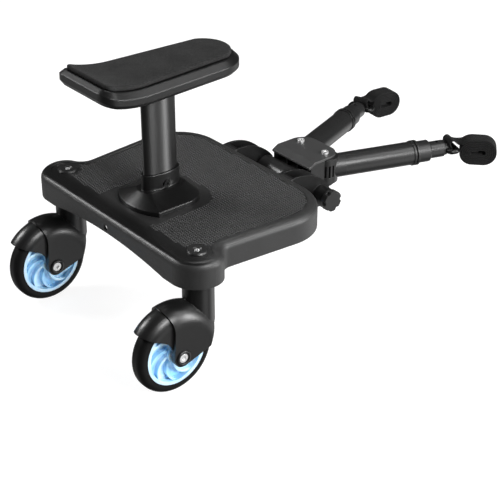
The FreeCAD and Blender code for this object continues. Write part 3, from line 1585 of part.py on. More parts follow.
def strap_twist(loop, roll_start, roll_heading):
    """Stretch between the loop and the roll, which turns sideways as it goes."""
    begin = Vector(0, loop.at.y, loop.at.z)
    end = Vector(0, roll_start.y, roll_start.z)
    pull = 0.4 * begin.distanceToPoint(end)
    tilt = math.radians(roll_heading)
    ahead = begin + loop.direction() * pull
    before = end - Vector(0, math.cos(tilt), math.sin(tilt)) * pull
    route = Part.BezierCurve()
    route.setPoles([begin, ahead, before, end])
    sections = []
    steps = 6
    for step in range(steps + 1):
        part = step / steps
        flow = route.tangent(part)[0]
        heading = math.degrees(math.atan2(flow.z, flow.y))
        swing = n.roll_swing * part * part * (3 - 2 * part)
        sections.append(across(route.value(part), heading, swing))
    return Part.makeLoft(sections, True), route.length()


def make_straps():
    """Two webbing straps, each one unbroken band with the loops of its roll."""
    loop, roll = strap_loop(), strap_roll()
    roll_start = roll.middle[0][0].StartPoint
    twist, twist_length = strap_twist(loop, roll_start, n.roll_entry)
    width = Vector(n.strap_width, 0, 0)
    coil = roll.face().extrude(width)
    coil.rotate(Vector(0, strap_far(), 0), Vector(0, 0, 1), -n.roll_swing)
    band = loop.face().extrude(width).fuse([twist, coil]).removeSplitter()
    if len(band.Solids) != 1:
        raise RuntimeError("the strap is in pieces")
    length = loop.length + twist_length + roll.length
    gap = min(loop.least_gap(), roll.least_gap())
    print(f"strap length {length:.1f} mm, least gap between its loops {gap:.2f} mm")
    for name, side in SIDES:
        item = doc.addObject("Part::Feature", name + "_strap_band")
        item.Shape = band.Solids[0]
        keep(item, name + "_strap", **arm_place(side))


def write_parts():
    """Check every object, then write each sub-part to its own file."""
    doc.recompute()
    for item in doc.Objects:
        if "Invalid" in item.State or "Error" in item.State:
            raise RuntimeError(f"{item.Label} is {item.State}")
    for item in subparts:
        if item.Shape.isNull() or not item.Shape.isValid() or not item.Shape.Solids:
            raise RuntimeError(f"{item.Label} has no sound shape")
    os.makedirs("parts", exist_ok=True)
    for item in subparts:
        item.Shape.exportStep(f"parts/{item.Label}.step")


make_deck()
make_stiffeners()
make_seat_base()
make_post()
make_base_screws()
cross_bolt("lower", base_bolt_z)
cross_bolt("upper", seat_bolt_z)
make_seat_shell()
make_seat_pad()
for side_name, side_sign in SIDES:
    make_swivel(side_name, side_sign)
    make_fork(side_name, side_sign)
    make_wheel(side_name, side_sign)
make_hinge()
make_bracket()
make_plate()
make_pivots()
for side_name, side_sign in SIDES:
    make_arm_root(side_name, side_sign)
    make_outer_tube(side_name, side_sign)
    make_collar(side_name, side_sign)
    make_inner_tube(side_name, side_sign)
    make_strap_ring(side_name, side_sign)
make_straps()
write_parts()
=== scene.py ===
import json
import math

import bpy
from mathutils import Matrix, Vector
from mathutils.bvhtree import BVHTree


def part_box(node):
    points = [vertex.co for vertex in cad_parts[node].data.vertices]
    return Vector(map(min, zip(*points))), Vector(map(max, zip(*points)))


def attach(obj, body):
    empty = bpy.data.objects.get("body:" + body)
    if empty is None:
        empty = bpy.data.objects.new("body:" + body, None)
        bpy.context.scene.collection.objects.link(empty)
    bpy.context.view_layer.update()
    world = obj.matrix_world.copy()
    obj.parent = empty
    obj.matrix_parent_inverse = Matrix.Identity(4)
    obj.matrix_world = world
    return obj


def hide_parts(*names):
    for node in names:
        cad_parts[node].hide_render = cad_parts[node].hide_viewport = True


# Buggy board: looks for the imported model. Lengths are metres in the frame's own axes: +Z up from the
# floor, +Y towards the stroller. Lengths "ahead" are from the seat post along +Y.

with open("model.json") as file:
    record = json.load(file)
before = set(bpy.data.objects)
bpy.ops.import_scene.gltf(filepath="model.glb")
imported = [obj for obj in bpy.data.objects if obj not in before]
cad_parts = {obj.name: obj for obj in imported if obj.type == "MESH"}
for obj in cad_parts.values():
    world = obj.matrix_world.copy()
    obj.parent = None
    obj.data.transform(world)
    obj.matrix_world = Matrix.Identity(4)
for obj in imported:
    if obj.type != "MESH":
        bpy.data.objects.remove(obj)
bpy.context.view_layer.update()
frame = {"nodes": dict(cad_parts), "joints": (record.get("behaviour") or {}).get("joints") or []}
nodes = frame["nodes"]
joints = {joint["name"]: joint for joint in frame["joints"]}
scene = bpy.context.scene

MM = 0.001
SIDES = (("left", -1), ("right", 1))


def middle(node):
    """Middle of a node's box."""
    low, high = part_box(node)
    return (low + high) / 2


def surface(node):
    """A node's faces, to find where a ray meets them."""
    mesh = nodes[node].data
    return BVHTree.FromPolygons([v.co for v in mesh.vertices], [p.vertices for p in mesh.polygons])


def pointing(angle):
    """Unit vector in a plane, at an angle to its first axis."""
    return Vector((math.cos(angle), math.sin(angle)))


POST = middle("seat_post")
DECK_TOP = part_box("deck")[1].z
AXLE = middle("right_tyre")

# Plain U round the seat base: half its width, its front, the radius of its front corners
PLAIN_HALF = 60 * MM
PLAIN_FRONT = 62 * MM
PLAIN_ROUND = 38 * MM
STRAP_WIDTH = 25 * MM


# Shader helpers

def add_node(tree, kind, inputs=(), **settings):
    """A new node with its settings, and its inputs given as values or as other nodes' outputs."""
    made = tree.nodes.new("ShaderNode" + kind)
    for key, value in settings.items():
        setattr(made, key, value)
    for key, value in dict(inputs).items():
        if isinstance(value, bpy.types.NodeSocket):
            tree.links.new(value, made.inputs[key])
        else:
            made.inputs[key].default_value = value
    return made


class Finish:
    """A procedural material, put together one node at a time."""

    def __init__(self, name, **fixed):
        self.material = bpy.data.materials.new(name)
        self.material.use_nodes = True
        self.tree = self.material.node_tree
        self.shader = self.tree.nodes["Principled BSDF"]
        for key, value in fixed.items():
            socket = key.replace("_", " ").title().replace("Ior", "IOR")
            self.shader.inputs[socket].default_value = value

    def node(self, kind, inputs=(), **settings):
        """A new node of this material."""
        return add_node(self.tree, kind, inputs, **settings)

    def link(self, output, socket):
        """Drive one of the shader's sockets."""
        self.tree.links.new(output, self.shader.inputs[socket])

    def place(self, scale=(1, 1, 1)):
        """Position on the piece, in metres, stretched by a scale."""
        coords = self.node("TexCoord").outputs["Object"]
        return self.node("Mapping", {"Vector": coords, "Scale": scale}).outputs["Vector"]

    def axes(self):
        """Position on the piece, in metres, as X, Y and Z."""
        return self.node("SeparateXYZ", {0: self.place()}).outputs

    def noise(self, size, detail=3.0, stretch=(1, 1, 1)):
        """Cloudy noise whose features are about a size across."""
        made = self.node("TexNoise", {"Vector": self.place(stretch), "Scale": 1 / size, "Detail": detail})
        return made.outputs["Fac"]

    def cells(self, size):
        """Cell noise whose cells are about a size across."""
        made = self.node("TexVoronoi", {"Vector": self.place(), "Scale": 1 / size})
        return made.outputs["Distance"]

    def math(self, operation, *values):
        """Arithmetic on numbers or outputs."""
        made = self.node("Math", dict(enumerate(values)), operation=operation)
        return made.outputs["Value"]

    def past(self, value, start):
        """How far a value is past a start, or nothing."""
        return self.math("MAXIMUM", self.math("SUBTRACT", value, start), 0.0)

    def length(self, first, second):
        """Length of a flat vector."""
        squares = self.math("MULTIPLY_ADD", first, first, self.math("MULTIPLY", second, second))
        return self.math("SQRT", squares)

    def spread(self, value, low, high, start=0.0, stop=1.0):
        """A value mapped from one range to another."""
        made = self.node("MapRange", {
            "Value": value, "From Min": start, "From Max": stop, "To Min": low, "To Max": high})
        return made.outputs["Result"]

    def blend(self, factor, first, second):
        """Mix of two colours."""
        made = self.node("Mix", {0: factor, 6: first, 7: second}, data_type="RGBA")
        return made.outputs[2]

    def edges(self, radius):
        """Rounded normal near edges, and a mask that is 1 on them."""
        rounded = self.node("Bevel", {"Radius": radius}, samples=6).outputs["Normal"]
        plain = self.node("NewGeometry").outputs["Normal"]
        same = self.node("VectorMath", {0: rounded, 1: plain}, operation="DOT_PRODUCT").outputs["Value"]
        return rounded, self.spread(same, 1.0, 0.0, start=0.75, stop=0.98)

    def bump(self, height, depth, normal=None):
        """Normal bent by a height that spans a depth in metres."""
        inputs = {"Height": height, "Distance": depth, "Strength": 1.0}
        if normal is not None:
            inputs["Normal"] = normal
        return self.node("Bump", inputs).outputs["Normal"]


def grey(value):
    """A neutral colour."""
    return (value, value, value, 1.0)


# Materials

FLECK_SIZE = 0.9 * MM
PIT_SIZE = 0.55 * MM


def moulded_plastic(name, tone, gloss, grain, edge=0.7 * MM, wear=2.6, shine=0.5):
    """Satin moulded plastic with a fine spark-eroded grain, soft edges and a lighter tone along them."""
    finish = Finish(name, specular_ior_level=shine)
    rounded, mask = finish.edges(edge)
    flecks = finish.noise(FLECK_SIZE, 2)
    finish.link(plastic_tone(finish, tone, mask, wear), "Base Color")
    finish.link(plastic_gloss(finish, gloss, flecks), "Roughness")
    pits = finish.math("ADD", finish.cells(PIT_SIZE), flecks)
    finish.link(finish.bump(pits, grain, rounded), "Normal")
    return finish.material


def plastic_tone(finish, tone, edge_mask, wear=2.6):
    """Cloudy tone of moulded plastic, lighter along edges."""
    body = finish.blend(finish.noise(40 * MM, 4), grey(tone * 0.8), grey(tone * 1.2))
    return finish.blend(finish.math("MULTIPLY", edge_mask, 0.6), body, grey(tone * wear))


def plastic_gloss(finish, gloss, flecks):
    """Roughness of moulded plastic with faint scuffs."""
    rough = finish.spread(finish.noise(9 * MM, 5, (1, 1, 2)), gloss - 0.02, gloss + 0.03, 0.3, 0.7)
    return finish.math("ADD", rough, finish.spread(flecks, -0.02, 0.02))


# Lengths ahead of the post: the rear strip fades from polished, with painted shade of the seat, to matt;
# the ears start
STRIP_POLISHED_SHADED = -72 * MM
STRIP_MATT = -54 * MM
EARS_START = 175 * MM
LANE_POLISH = 0.15
MATT_TONE = 0.016
# Painted shade: darker tone of the sunk field between the studs
FIELD_SHADE_TONE = 0.007
# Darker tone where polished: the ears' own glossy black, and painted shade of the seat along the rear
# strip
POLISHED_AND_SHADE_TONE = 0.005


def lane_mask(finish, across, ahead):
    """1 on the plain U round the seat base, from the places across and ahead."""
    sideways = finish.past(finish.math("ABSOLUTE", across), PLAIN_HALF - PLAIN_ROUND)
    forward = finish.past(ahead, PLAIN_FRONT - PLAIN_ROUND)
    reach = finish.length(sideways, forward)
    return finish.spread(reach, 1.0, 0.0, PLAIN_ROUND - 0.5 * MM, PLAIN_ROUND + 0.5 * MM)


def polish_and_shade_mask(finish, lane, ahead, height):
    """1 where the deck is polished and darker: on the ears, along the rear and a little on the lane;
    along the rear the darker tone is painted shade of the seat.
    """
    rear = finish.spread(ahead, 1.0, 0.0, STRIP_POLISHED_SHADED, STRIP_MATT)
    level = finish.spread(height, 0.0, 1.0, DECK_TOP - 3 * MM, DECK_TOP - 2 * MM)
    ears = finish.spread(ahead, 0.0, 1.0, EARS_START, EARS_START + 1 * MM)
    plain = finish.math("MAXIMUM", finish.math("MULTIPLY", lane, LANE_POLISH), rear)
    return finish.math("MAXIMUM", finish.math("MULTIPLY", plain, level), ears)


def field_shade_mask(finish, lane, height):
    """1 on the sunk field between the studs, where the deck is darkened as painted shade."""
    normal = finish.node("NewGeometry").outputs["Normal"]
    upward = finish.node("SeparateXYZ", {0: normal}).outputs["Z"]
    sunk = finish.spread(height, 1.0, 0.0, DECK_TOP - 0.8 * MM, DECK_TOP - 0.6 * MM)
    flat = finish.math("MULTIPLY", sunk, finish.spread(upward, 0.0, 1.0, 0.97, 0.99))
    return finish.math("MULTIPLY", flat, finish.math("SUBTRACT", 1.0, lane))


def deck_plastic():
    """Deck: grained, matt plastic, with painted shade on the sunk field between the studs, polished along
    the rear and on the ears, the rear strip's darker tone being painted shade of the seat.
    """
    finish = Finish("deck_plastic")
    rounded, mask = finish.edges(0.7 * MM)
    split = finish.axes()
    ahead = finish.math("SUBTRACT", split["Y"], POST.y)
    lane = lane_mask(finish, split["X"], ahead)
    polished = polish_and_shade_mask(finish, lane, ahead, split["Z"])
    field = field_shade_mask(finish, lane, split["Z"])
    finish.link(finish.spread(polished, 0.5, 0.3), "Specular IOR Level")
    flecks = finish.noise(FLECK_SIZE, 2)
    matt = plastic_tone(finish, MATT_TONE, mask)
    # Painted shade darkens the sunk field between the studs.
    matt = finish.blend(field, matt, plastic_tone(finish, FIELD_SHADE_TONE, mask))
    # Polished zones are darker: a real glossy black on the ears, painted shade of the seat along the rear
    # strip.
    tone = finish.blend(polished, matt, plastic_tone(finish, POLISHED_AND_SHADE_TONE, mask))
    finish.link(tone, "Base Color")
    gloss = plastic_gloss(finish, 0.0, flecks)
    finish.link(finish.math("ADD", gloss, finish.spread(polished, 0.46, 0.32)), "Roughness")
    pits = finish.math("ADD", finish.cells(PIT_SIZE), flecks)
    grain = finish.math("MULTIPLY", pits, finish.spread(polished, 1.0, 0.15))
    finish.link(finish.bump(grain, 0.05 * MM, rounded), "Normal")
    return finish.material


def foam():
    """Closed-cell foam sheet: matt, finely pored, with a soft bloom."""
    finish = Finish("foam", roughness=0.85, specular_ior_level=0.14,
                    sheen_weight=0.02, sheen_roughness=0.5)
    cloud = finish.noise(25 * MM, 5)
    pores = finish.cells(1.5 * MM)
    grain = finish.noise(1.1 * MM, 4)
    tone = finish.math("MULTIPLY_ADD", finish.spread(pores, -0.6, 0.5, 0.1, 0.8), 0.7, cloud)
    finish.link(finish.blend(tone, grey(0.006), grey(0.024)), "Base Color")
    finish.link(finish.bump(finish.math("ADD", pores, grain), 0.3 * MM), "Normal")
    return finish.material


def painted_tube(name, tone, gloss, along, streak=0.0, shine=0.5):
    """Black painted aluminium tube with faint drawing lines along it."""
    finish = Finish(name, anisotropic=streak, anisotropic_rotation=0.25, specular_ior_level=shine)
    tangent = finish.node("Tangent", direction_type="RADIAL", axis="Z")
    finish.link(tangent.outputs["Tangent"], "Tangent")
    rounded, mask = finish.edges(0.5 * MM)
    lines = finish.noise(0.8 * MM, 3, along)
    cloud = finish.noise(30 * MM, 4)
    body = finish.blend(cloud, grey(tone * 0.8), grey(tone * 1.2))
    finish.link(finish.blend(mask, body, grey(tone * 4)), "Base Color")
    finish.link(finish.spread(lines, gloss - 0.05, gloss + 0.05, 0.25, 0.75), "Roughness")
    finish.link(finish.bump(lines, 0.012 * MM, rounded), "Normal")
    return finish.material


def coated_plate():
    """Powder-coated steel sheet with an orange-peel skin."""
    finish = Finish("coated_plate", specular_ior_level=0.55)
    rounded, mask = finish.edges(0.9 * MM)
    peel = finish.noise(1.4 * MM, 2)
    cloud = finish.noise(20 * MM, 4)
    body = finish.blend(cloud, grey(0.03), grey(0.04))
    finish.link(finish.blend(mask, body, grey(0.1)), "Base Color")
    finish.link(finish.spread(cloud, 0.36, 0.46), "Roughness")
    finish.link(finish.bump(peel, 0.05 * MM, rounded), "Normal")
    return finish.material


def bright_steel():
    """Zinc-plated steel with fine turning marks."""
    finish = Finish("bright_steel", metallic=0.7)
    rounded, _ = finish.edges(0.35 * MM)
    marks = finish.noise(0.5 * MM, 3, (1, 1, 5))
    stain = finish.noise(3 * MM, 4)
    finish.link(finish.blend(stain, (0.62, 0.62, 0.63, 1), (0.86, 0.86, 0.85, 1)), "Base Color")
    finish.link(finish.spread(marks, 0.2, 0.36, 0.3, 0.7), "Roughness")
    finish.link(finish.bump(marks, 0.01 * MM, rounded), "Normal")
    return finish.material


def dark_metal():
    """Black-oxide steel of the strap rings and the seat's cross bolts."""
    finish = Finish("dark_metal", metallic=0.85)
    rounded, _ = finish.edges(0.4 * MM)
    wear = finish.noise(4 * MM, 5)
    finish.link(finish.blend(wear, grey(0.008), grey(0.03)), "Base Color")
    finish.link(finish.spread(wear, 0.42, 0.28), "Roughness")
    finish.link(finish.bump(finish.noise(0.7 * MM, 3), 0.015 * MM, rounded), "Normal")
    return finish.material


def nylon():
    """Natural nylon of the bushes and spacers."""
    finish = Finish("nylon", subsurface_weight=0.2, subsurface_scale=2 * MM)
    cloud = finish.noise(6 * MM, 3)
    finish.link(finish.blend(cloud, (0.62, 0.6, 0.54, 1), (0.74, 0.72, 0.66, 1)), "Base Color")
    finish.link(finish.spread(cloud, 0.4, 0.5), "Roughness")
    return finish.material


def rubber():
    """Black tyre rubber, a little shiny, with fine moulding lines round the wheel."""
    finish = Finish("rubber", specular_ior_level=0.15)
    cloud = finish.noise(14 * MM, 5)
    rounded, _ = finish.edges(0.5 * MM)
    finish.link(finish.blend(cloud, grey(0.003), grey(0.006)), "Base Color")
    finish.link(finish.spread(cloud, 0.38, 0.5), "Roughness")
    skin = finish.math("ADD", finish.noise(0.5 * MM, 3), finish.noise(0.35 * MM, 1, (6, 0.4, 0.4)))
    finish.link(finish.bump(skin, 0.03 * MM, rounded), "Normal")
    return finish.material


# Hub: its colours, the count of its swirls, their lean in radians per metre, and the radii where its pale
# rim starts and is full
DEEP_BLUE = (0.27, 0.54, 0.8, 1)
SKY_BLUE = (0.52, 0.74, 0.9, 1)
RIM_BLUE = (0.42, 0.58, 0.72, 1)
SWIRLS = 5.0
SWIRL_LEAN = -160.0
RIM_START = 42 * MM
RIM_FULL = 45 * MM


def blue_hub():
    """Clear sky-blue hub, paler along its swirls and at the rim."""
    finish = Finish("blue_hub", subsurface_weight=0.3, subsurface_scale=4 * MM, coat_weight=0.3,
                    coat_roughness=0.12, subsurface_radius=(0.4, 0.8, 1.0))
    split = finish.axes()
    y = finish.math("SUBTRACT", split["Y"], AXLE.y)
    z = finish.math("SUBTRACT", split["Z"], AXLE.z)
    radius = finish.length(y, z)
    lean = finish.math("MULTIPLY", radius, SWIRL_LEAN)
    angle = finish.math("ARCTAN2", z, y)
    swirl = finish.math("SINE", finish.math("MULTIPLY_ADD", angle, SWIRLS, lean))
    cloud = finish.noise(12 * MM, 4)
    depth = finish.math("MULTIPLY_ADD", swirl, 0.28, cloud)
    sky = finish.blend(finish.spread(depth, 0.0, 1.0, 0.25, 0.8), DEEP_BLUE, SKY_BLUE)
    pale = finish.spread(radius, 0.0, 1.0, RIM_START, RIM_FULL)
    finish.link(finish.blend(pale, sky, RIM_BLUE), "Base Color")
    finish.link(finish.spread(cloud, 0.1, 0.2), "Roughness")
    finish.link(finish.bump(finish.noise(5 * MM, 2), 0.12 * MM), "Normal")
    return finish.material


WEAVE_PITCH = 1.6 * MM
CHEVRON_HALF = 3.1 * MM
YARN_PITCH = 0.8 * MM
# Painted highlight along both edges of the strap: where it starts and where it is full
EDGE_HIGHLIGHT_START = STRAP_WIDTH / 2 - 0.2 * MM
EDGE_HIGHLIGHT_FULL = STRAP_WIDTH / 2 - 0.05 * MM


def webbing():
    """Woven strap: a fine chevron of thick yarns, from the strap's own length and width, with a painted
    highlight along both edges.
    """
    finish = Finish("webbing", roughness=0.8, specular_ior_level=0.12,
                    sheen_weight=0.03, sheen_roughness=0.5)
    split = finish.node("SeparateXYZ", {0: finish.node("UVMap").outputs["UV"]}).outputs
    along = finish.math("MULTIPLY", split["X"], 2 * math.pi / WEAVE_PITCH)
    fold = finish.math("PINGPONG", split["Y"], CHEVRON_HALF)
    weave = finish.math("SINE", finish.math("MULTIPLY_ADD", fold, 2 * math.pi / WEAVE_PITCH, along))
    yarn = finish.math("SINE", finish.math("MULTIPLY", split["Y"], 2 * math.pi / YARN_PITCH))
    fuzz = finish.noise(0.4 * MM, 3)
    height = finish.math("ADD", finish.math("MULTIPLY_ADD", yarn, 0.35, weave), fuzz)
    body = finish.blend(finish.spread(height, 0.0, 1.0, -1.0, 2.0), grey(0.002), grey(0.008))
    outward = finish.math("ABSOLUTE", split["Y"])
    # Painted highlight: a lighter line along the strap's edges
    edge_highlight = finish.spread(outward, 0.0, 1.0, EDGE_HIGHLIGHT_START, EDGE_HIGHLIGHT_FULL)
    finish.link(finish.blend(edge_highlight, body, grey(0.012)), "Base Color")
    finish.link(finish.bump(height, 0.16 * MM), "Normal")
    return finish.material


PLASTIC = moulded_plastic("black_plastic", 0.009, 0.36, 0.015 * MM)
DECK_PLASTIC = deck_plastic()
TREAD_PLASTIC = moulded_plastic("tread_plastic", 0.03, 0.5, 0.03 * MM)
BASE_PLASTIC = moulded_plastic("base_plastic", 0.004, 0.3, 0.006 * MM, 2.5 * MM, 1.3)
SHELL_PLASTIC = moulded_plastic("shell_plastic", 0.005, 0.34, 0.01 * MM, 2 * MM, 1.4, 0.32)
CASTER_PLASTIC = moulded_plastic("caster_plastic", 0.005, 0.34, 0.004 * MM)
FOAM = foam()
POST_PAINT = painted_tube("post_paint", 0.006, 0.4, (1, 1, 0.02), 0.9, 0.6)
ARM_PAINT = painted_tube("arm_paint", 0.012, 0.3, (1, 1, 1))
PLATE_COAT = coated_plate()
STEEL = bright_steel()
DARK_METAL = dark_metal()
NYLON = nylon()
RUBBER = rubber()
HUB_BLUE = blue_hub()
WEBBING = webbing()

FINISHES = {
    DECK_PLASTIC: ["deck", "deck_skirt", "deck_stiffeners"],
    BASE_PLASTIC: ["seat_base"],
    SHELL_PLASTIC: ["seat_shell"],
    PLASTIC: ["clamp_knob", "arm_bracket"],
    POST_PAINT: ["seat_post"],
    PLATE_COAT: ["bracket_plate"],
    STEEL: ["seat_base_screws", "hinge_bolt", "hinge_washers", "pivot_screws", "pivot_nuts"],
    DARK_METAL: ["lower_cross_bolt", "upper_cross_bolt", "lower_cross_nut", "upper_cross_nut"],
}
SIDE_FINISHES = {
    PLASTIC: ["swivel_boss", "swivel_cap", "arm_root", "arm_collar"],
    CASTER_PLASTIC: ["caster_fork"],
    ARM_PAINT: ["outer_tube", "inner_tube"],
    STEEL: ["kingpin", "bearings", "axle_bolt", "axle_nut", "thrust_washer"],
    DARK_METAL: ["strap_ring"],
    NYLON: ["swivel_bush", "bearing_spacer"],
    RUBBER: ["tyre"],
    HUB_BLUE: ["hub"],
}


def dress(node, material):
    """Give a node of the frame its finish."""
    mesh = nodes[node].data
    mesh.materials.clear()
    mesh.materials.append(material)
    for polygon in mesh.polygons:
        polygon.material_index = 0


for material, names in FINISHES.items():
    for name in names:
        dress(name, material)
for material, names in SIDE_FINISHES.items():
    for name in names:
        for side, _ in SIDES:
            dress(f"{side}_{name}", material)


# Mesh helpers

def new_object(name, mesh, material):
    """A mesh object in the scene."""
    made = bpy.data.objects.new(name, mesh)
    scene.collection.objects.link(made)
    mesh.materials.append(material)
    return made


def new_piece(name, mesh, material, body):
    """A mesh object that rides on a body."""
    piece = new_object(name, mesh, material)
    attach(piece, body)
    return piece


def mesh_of(name, points, faces, smooth=True):
    """A mesh from points and faces."""
    mesh = bpy.data.meshes.new(name)
    mesh.from_pydata(points, [], faces)
    mesh.validate()
    mesh.update()
    for polygon in mesh.polygons:
        polygon.use_smooth = smooth
    return mesh


def ring_quads(start, count, rings, closed=False):
    """Faces between rings of points that follow each other, back to the first one if closed."""
    quads = []
    for ring in range(rings if closed else rings - 1):
        here = start + ring * count
        beside = start + (ring + 1) % rings * count
        for index in range(count):
            after = (index + 1) % count
            quads.append((here + index, here + after, beside + after, beside + index))
    return quads


def flipped(faces):
    """Faces that look the other way."""
    return [face[::-1] for face in faces]


# Tread of the deck: staggered rows of small long studs set on the diagonal

STUD_PITCH = 5.4 * MM
ROW_PITCH = 3.3 * MM
ROW_TURN = math.radians(45)
# Width of a stud as a share of its length
STUD_WIDTH = 0.5
# Rings of a stud from its foot: half length, height above the field
STUD_RINGS = ((2.3 * MM, -0.1 * MM), (2.15 * MM, 0.4 * MM), (1.6 * MM, 0.75 * MM))
STUD_CORNERS = 8
# Steps from a stud's middle to the places round it that have to lie on the field
STUD_ROOM = (-1.9 * MM, 0, 1.9 * MM)
FIELD_DEPTH = 1.2 * MM
FIELD_SLACK = 0.1 * MM
FIELD_REAR = -62 * MM
CAP_ROOM = 19 * MM


def on_plain(x, ahead):
    """Whether a place lies in the plain U round the seat base, open to the rear."""
    across = abs(x) - (PLAIN_HALF - PLAIN_ROUND)
    forward = ahead - (PLAIN_FRONT - PLAIN_ROUND)
    if across > 0 and forward > 0:
        return math.hypot(across, forward) < PLAIN_ROUND
    return across < PLAIN_ROUND and forward < PLAIN_ROUND


def tread_places():
    """Where the studs stand: on the sunk field, clear of the seat base and the caps."""
    tree = surface("deck")
    low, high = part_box("deck")
    caps = [middle(f"{side}_swivel_cap") for side, _ in SIDES]
    field = DECK_TOP - FIELD_DEPTH
    along = pointing(ROW_TURN)
    across = Vector((-along.y, along.x))
    reach = (high - low).length / 2
    rows, columns = math.ceil(reach / ROW_PITCH), math.ceil(reach / STUD_PITCH)
    for row in range(-rows, rows + 1):
        for column in range(-columns, columns + 1):
            stagger = STUD_PITCH / 2 if row % 2 else 0.0
            x, y = along * (column * STUD_PITCH + stagger) + across * (row * ROW_PITCH) + POST.xy
            ahead = y - POST.y
            if ahead < FIELD_REAR or on_plain(x, ahead):
                continue
            if any(math.hypot(x - cap.x, y - cap.y) < CAP_ROOM for cap in caps):
                continue
            around = [Vector((x + dx, y + dy, high.z + 1)) for dx in STUD_ROOM for dy in STUD_ROOM]
            hits = [tree.ray_cast(start, Vector((0, 0, -1)))[0] for start in around]
            if all(hit is not None and abs(hit.z - field) < FIELD_SLACK for hit in hits):
                yield Vector((x, y, field))


def make_tread():
    """All studs in one piece."""
    points, faces = [], []
    corners = STUD_CORNERS
    lie = Matrix.Rotation(ROW_TURN, 3, "Z")
    for place in tread_places():
        start = len(points)
        for half, rise in STUD_RINGS:
            for corner in range(corners):
                turn = 2 * math.pi * (corner + 0.5) / corners
                outline = Vector((half * math.cos(turn), STUD_WIDTH * half * math.sin(turn), rise))
                points.append(place + lie @ outline)
        faces += ring_quads(start, corners, len(STUD_RINGS))
        top = start + (len(STUD_RINGS) - 1) * corners
        faces.append(tuple(range(top, top + corners)))
    new_piece("deck_tread", mesh_of("deck_tread", points, faces), TREAD_PLASTIC, "board")


make_tread()


# Raised rings round the ends of the axles

# Section of a ring in millimetres: radius, height above the fork's face
RING_SECTION = ((11.3, -0.6), (11.3, 0.9), (10.7, 2.0), (9.6, 2.6), (8.2, 2.6), (7.5, 2.1), (7.3, -0.6))
RING_STEPS = 48
# Height above the axle where the fork's face is found
FACE_RISE = 10.5 * MM


def make_axle_rings(side):
    """The rings on both faces of one fork."""
    axle = middle(f"{side}_tyre")
    tree = surface(f"{side}_caster_fork")
    points, faces = [], []
    for face in (-1, 1):
        start = len(points)
        above = axle + Vector((face, 0, FACE_RISE))
        flat = tree.ray_cast(above, Vector((-face, 0, 0)))[0].x
        for step in range(RING_STEPS):
            turn = 2 * math.pi * step / RING_STEPS
            for radius, rise in RING_SECTION:
                points.append(Vector((flat + face * rise * MM, axle.y + radius * MM * math.cos(turn),
                                      axle.z + radius * MM * math.sin(turn))))
        quads = ring_quads(start, len(RING_SECTION), RING_STEPS, closed=True)
        faces += quads if face < 0 else flipped(quads)
    mesh = mesh_of(f"{side}_axle_rings", points, faces)
    new_piece(f"{side}_axle_rings", mesh, CASTER_PLASTIC, f"{side}_caster")


for side_name, _ in SIDES:
    make_axle_rings(side_name)


# Foam pad on the seat

PAD_SHELL_HALF = 60 * MM
PAD_REAR_ROUND = 20 * MM
PAD_REAR = 121 * MM
PAD_FRONT = 126 * MM
PAD_NOSE = 50 * MM
PAD_INSET = 10.5 * MM
SEAT_TOP = 385 * MM
PAD_LIFT = 0.3 * MM
PAD_THICK = 6.5 * MM
SEAT_RISE = 16 * MM
SEAT_RISE_BACK = 45 * MM
# Pad section from its foot upwards: distance in from the edge in millimetres, share of the thickness
PAD_SECTION = ((1.6, 0.0), (0.3, 0.1), (0.0, 0.35), (0.0, 0.62),
               (0.5, 0.84), (1.5, 0.955), (3.0, 1.0), (6, 1.0))
# Shares of the way out from the pad's spine where its top has rings of points
PAD_TOP_SHARES = (0.75, 0.5, 0.25)
# Points along half the rear edge, round a corner or half the nose, and along a side
REAR_STEPS = 6
ROUND_STEPS = 24
SIDE_STEPS = 40


def seat_line(ahead):
    """Lift of the seat's long line, which climbs in an arc towards the rear."""
    back = -SEAT_RISE_BACK - ahead
    run = PAD_REAR - SEAT_RISE_BACK
    if back <= 0:
        return 0.0
    radius = (run * run + SEAT_RISE * SEAT_RISE) / (2 * SEAT_RISE)
    return radius - math.sqrt(radius * radius - min(back, run) ** 2)


def seat_edge(inset):
    """The seat's outline from above, inside its edge by an inset, as points going round."""
    rear = Vector((PAD_SHELL_HALF - PAD_REAR_ROUND, PAD_REAR_ROUND - PAD_REAR))
    nose = Vector((0, PAD_FRONT - PAD_NOSE))
    between = nose - rear
    lean = math.atan2(between.y, between.x) - math.acos((PAD_NOSE - PAD_REAR_ROUND) / between.length)
    corner, tip = PAD_REAR_ROUND - inset, PAD_NOSE - inset
    half = []
    for index in range(REAR_STEPS):
        half.append(Vector((rear.x * index / REAR_STEPS, rear.y - corner)))
    for index in range(ROUND_STEPS + 1):
        turn = -math.pi / 2 + (lean + math.pi / 2) * index / ROUND_STEPS
        half.append(rear + corner * pointing(turn))
    first, last = half[-1], nose + tip * pointing(lean)
    for index in range(1, SIDE_STEPS):
        half.append(first.lerp(last, index / SIDE_STEPS))
    for index in range(ROUND_STEPS + 1):
        turn = lean + (math.pi / 2 - lean) * index / ROUND_STEPS
        half.append(nose + tip * pointing(turn))
    return half + [Vector((-p.x, p.y)) for p in reversed(half[1:-1])]


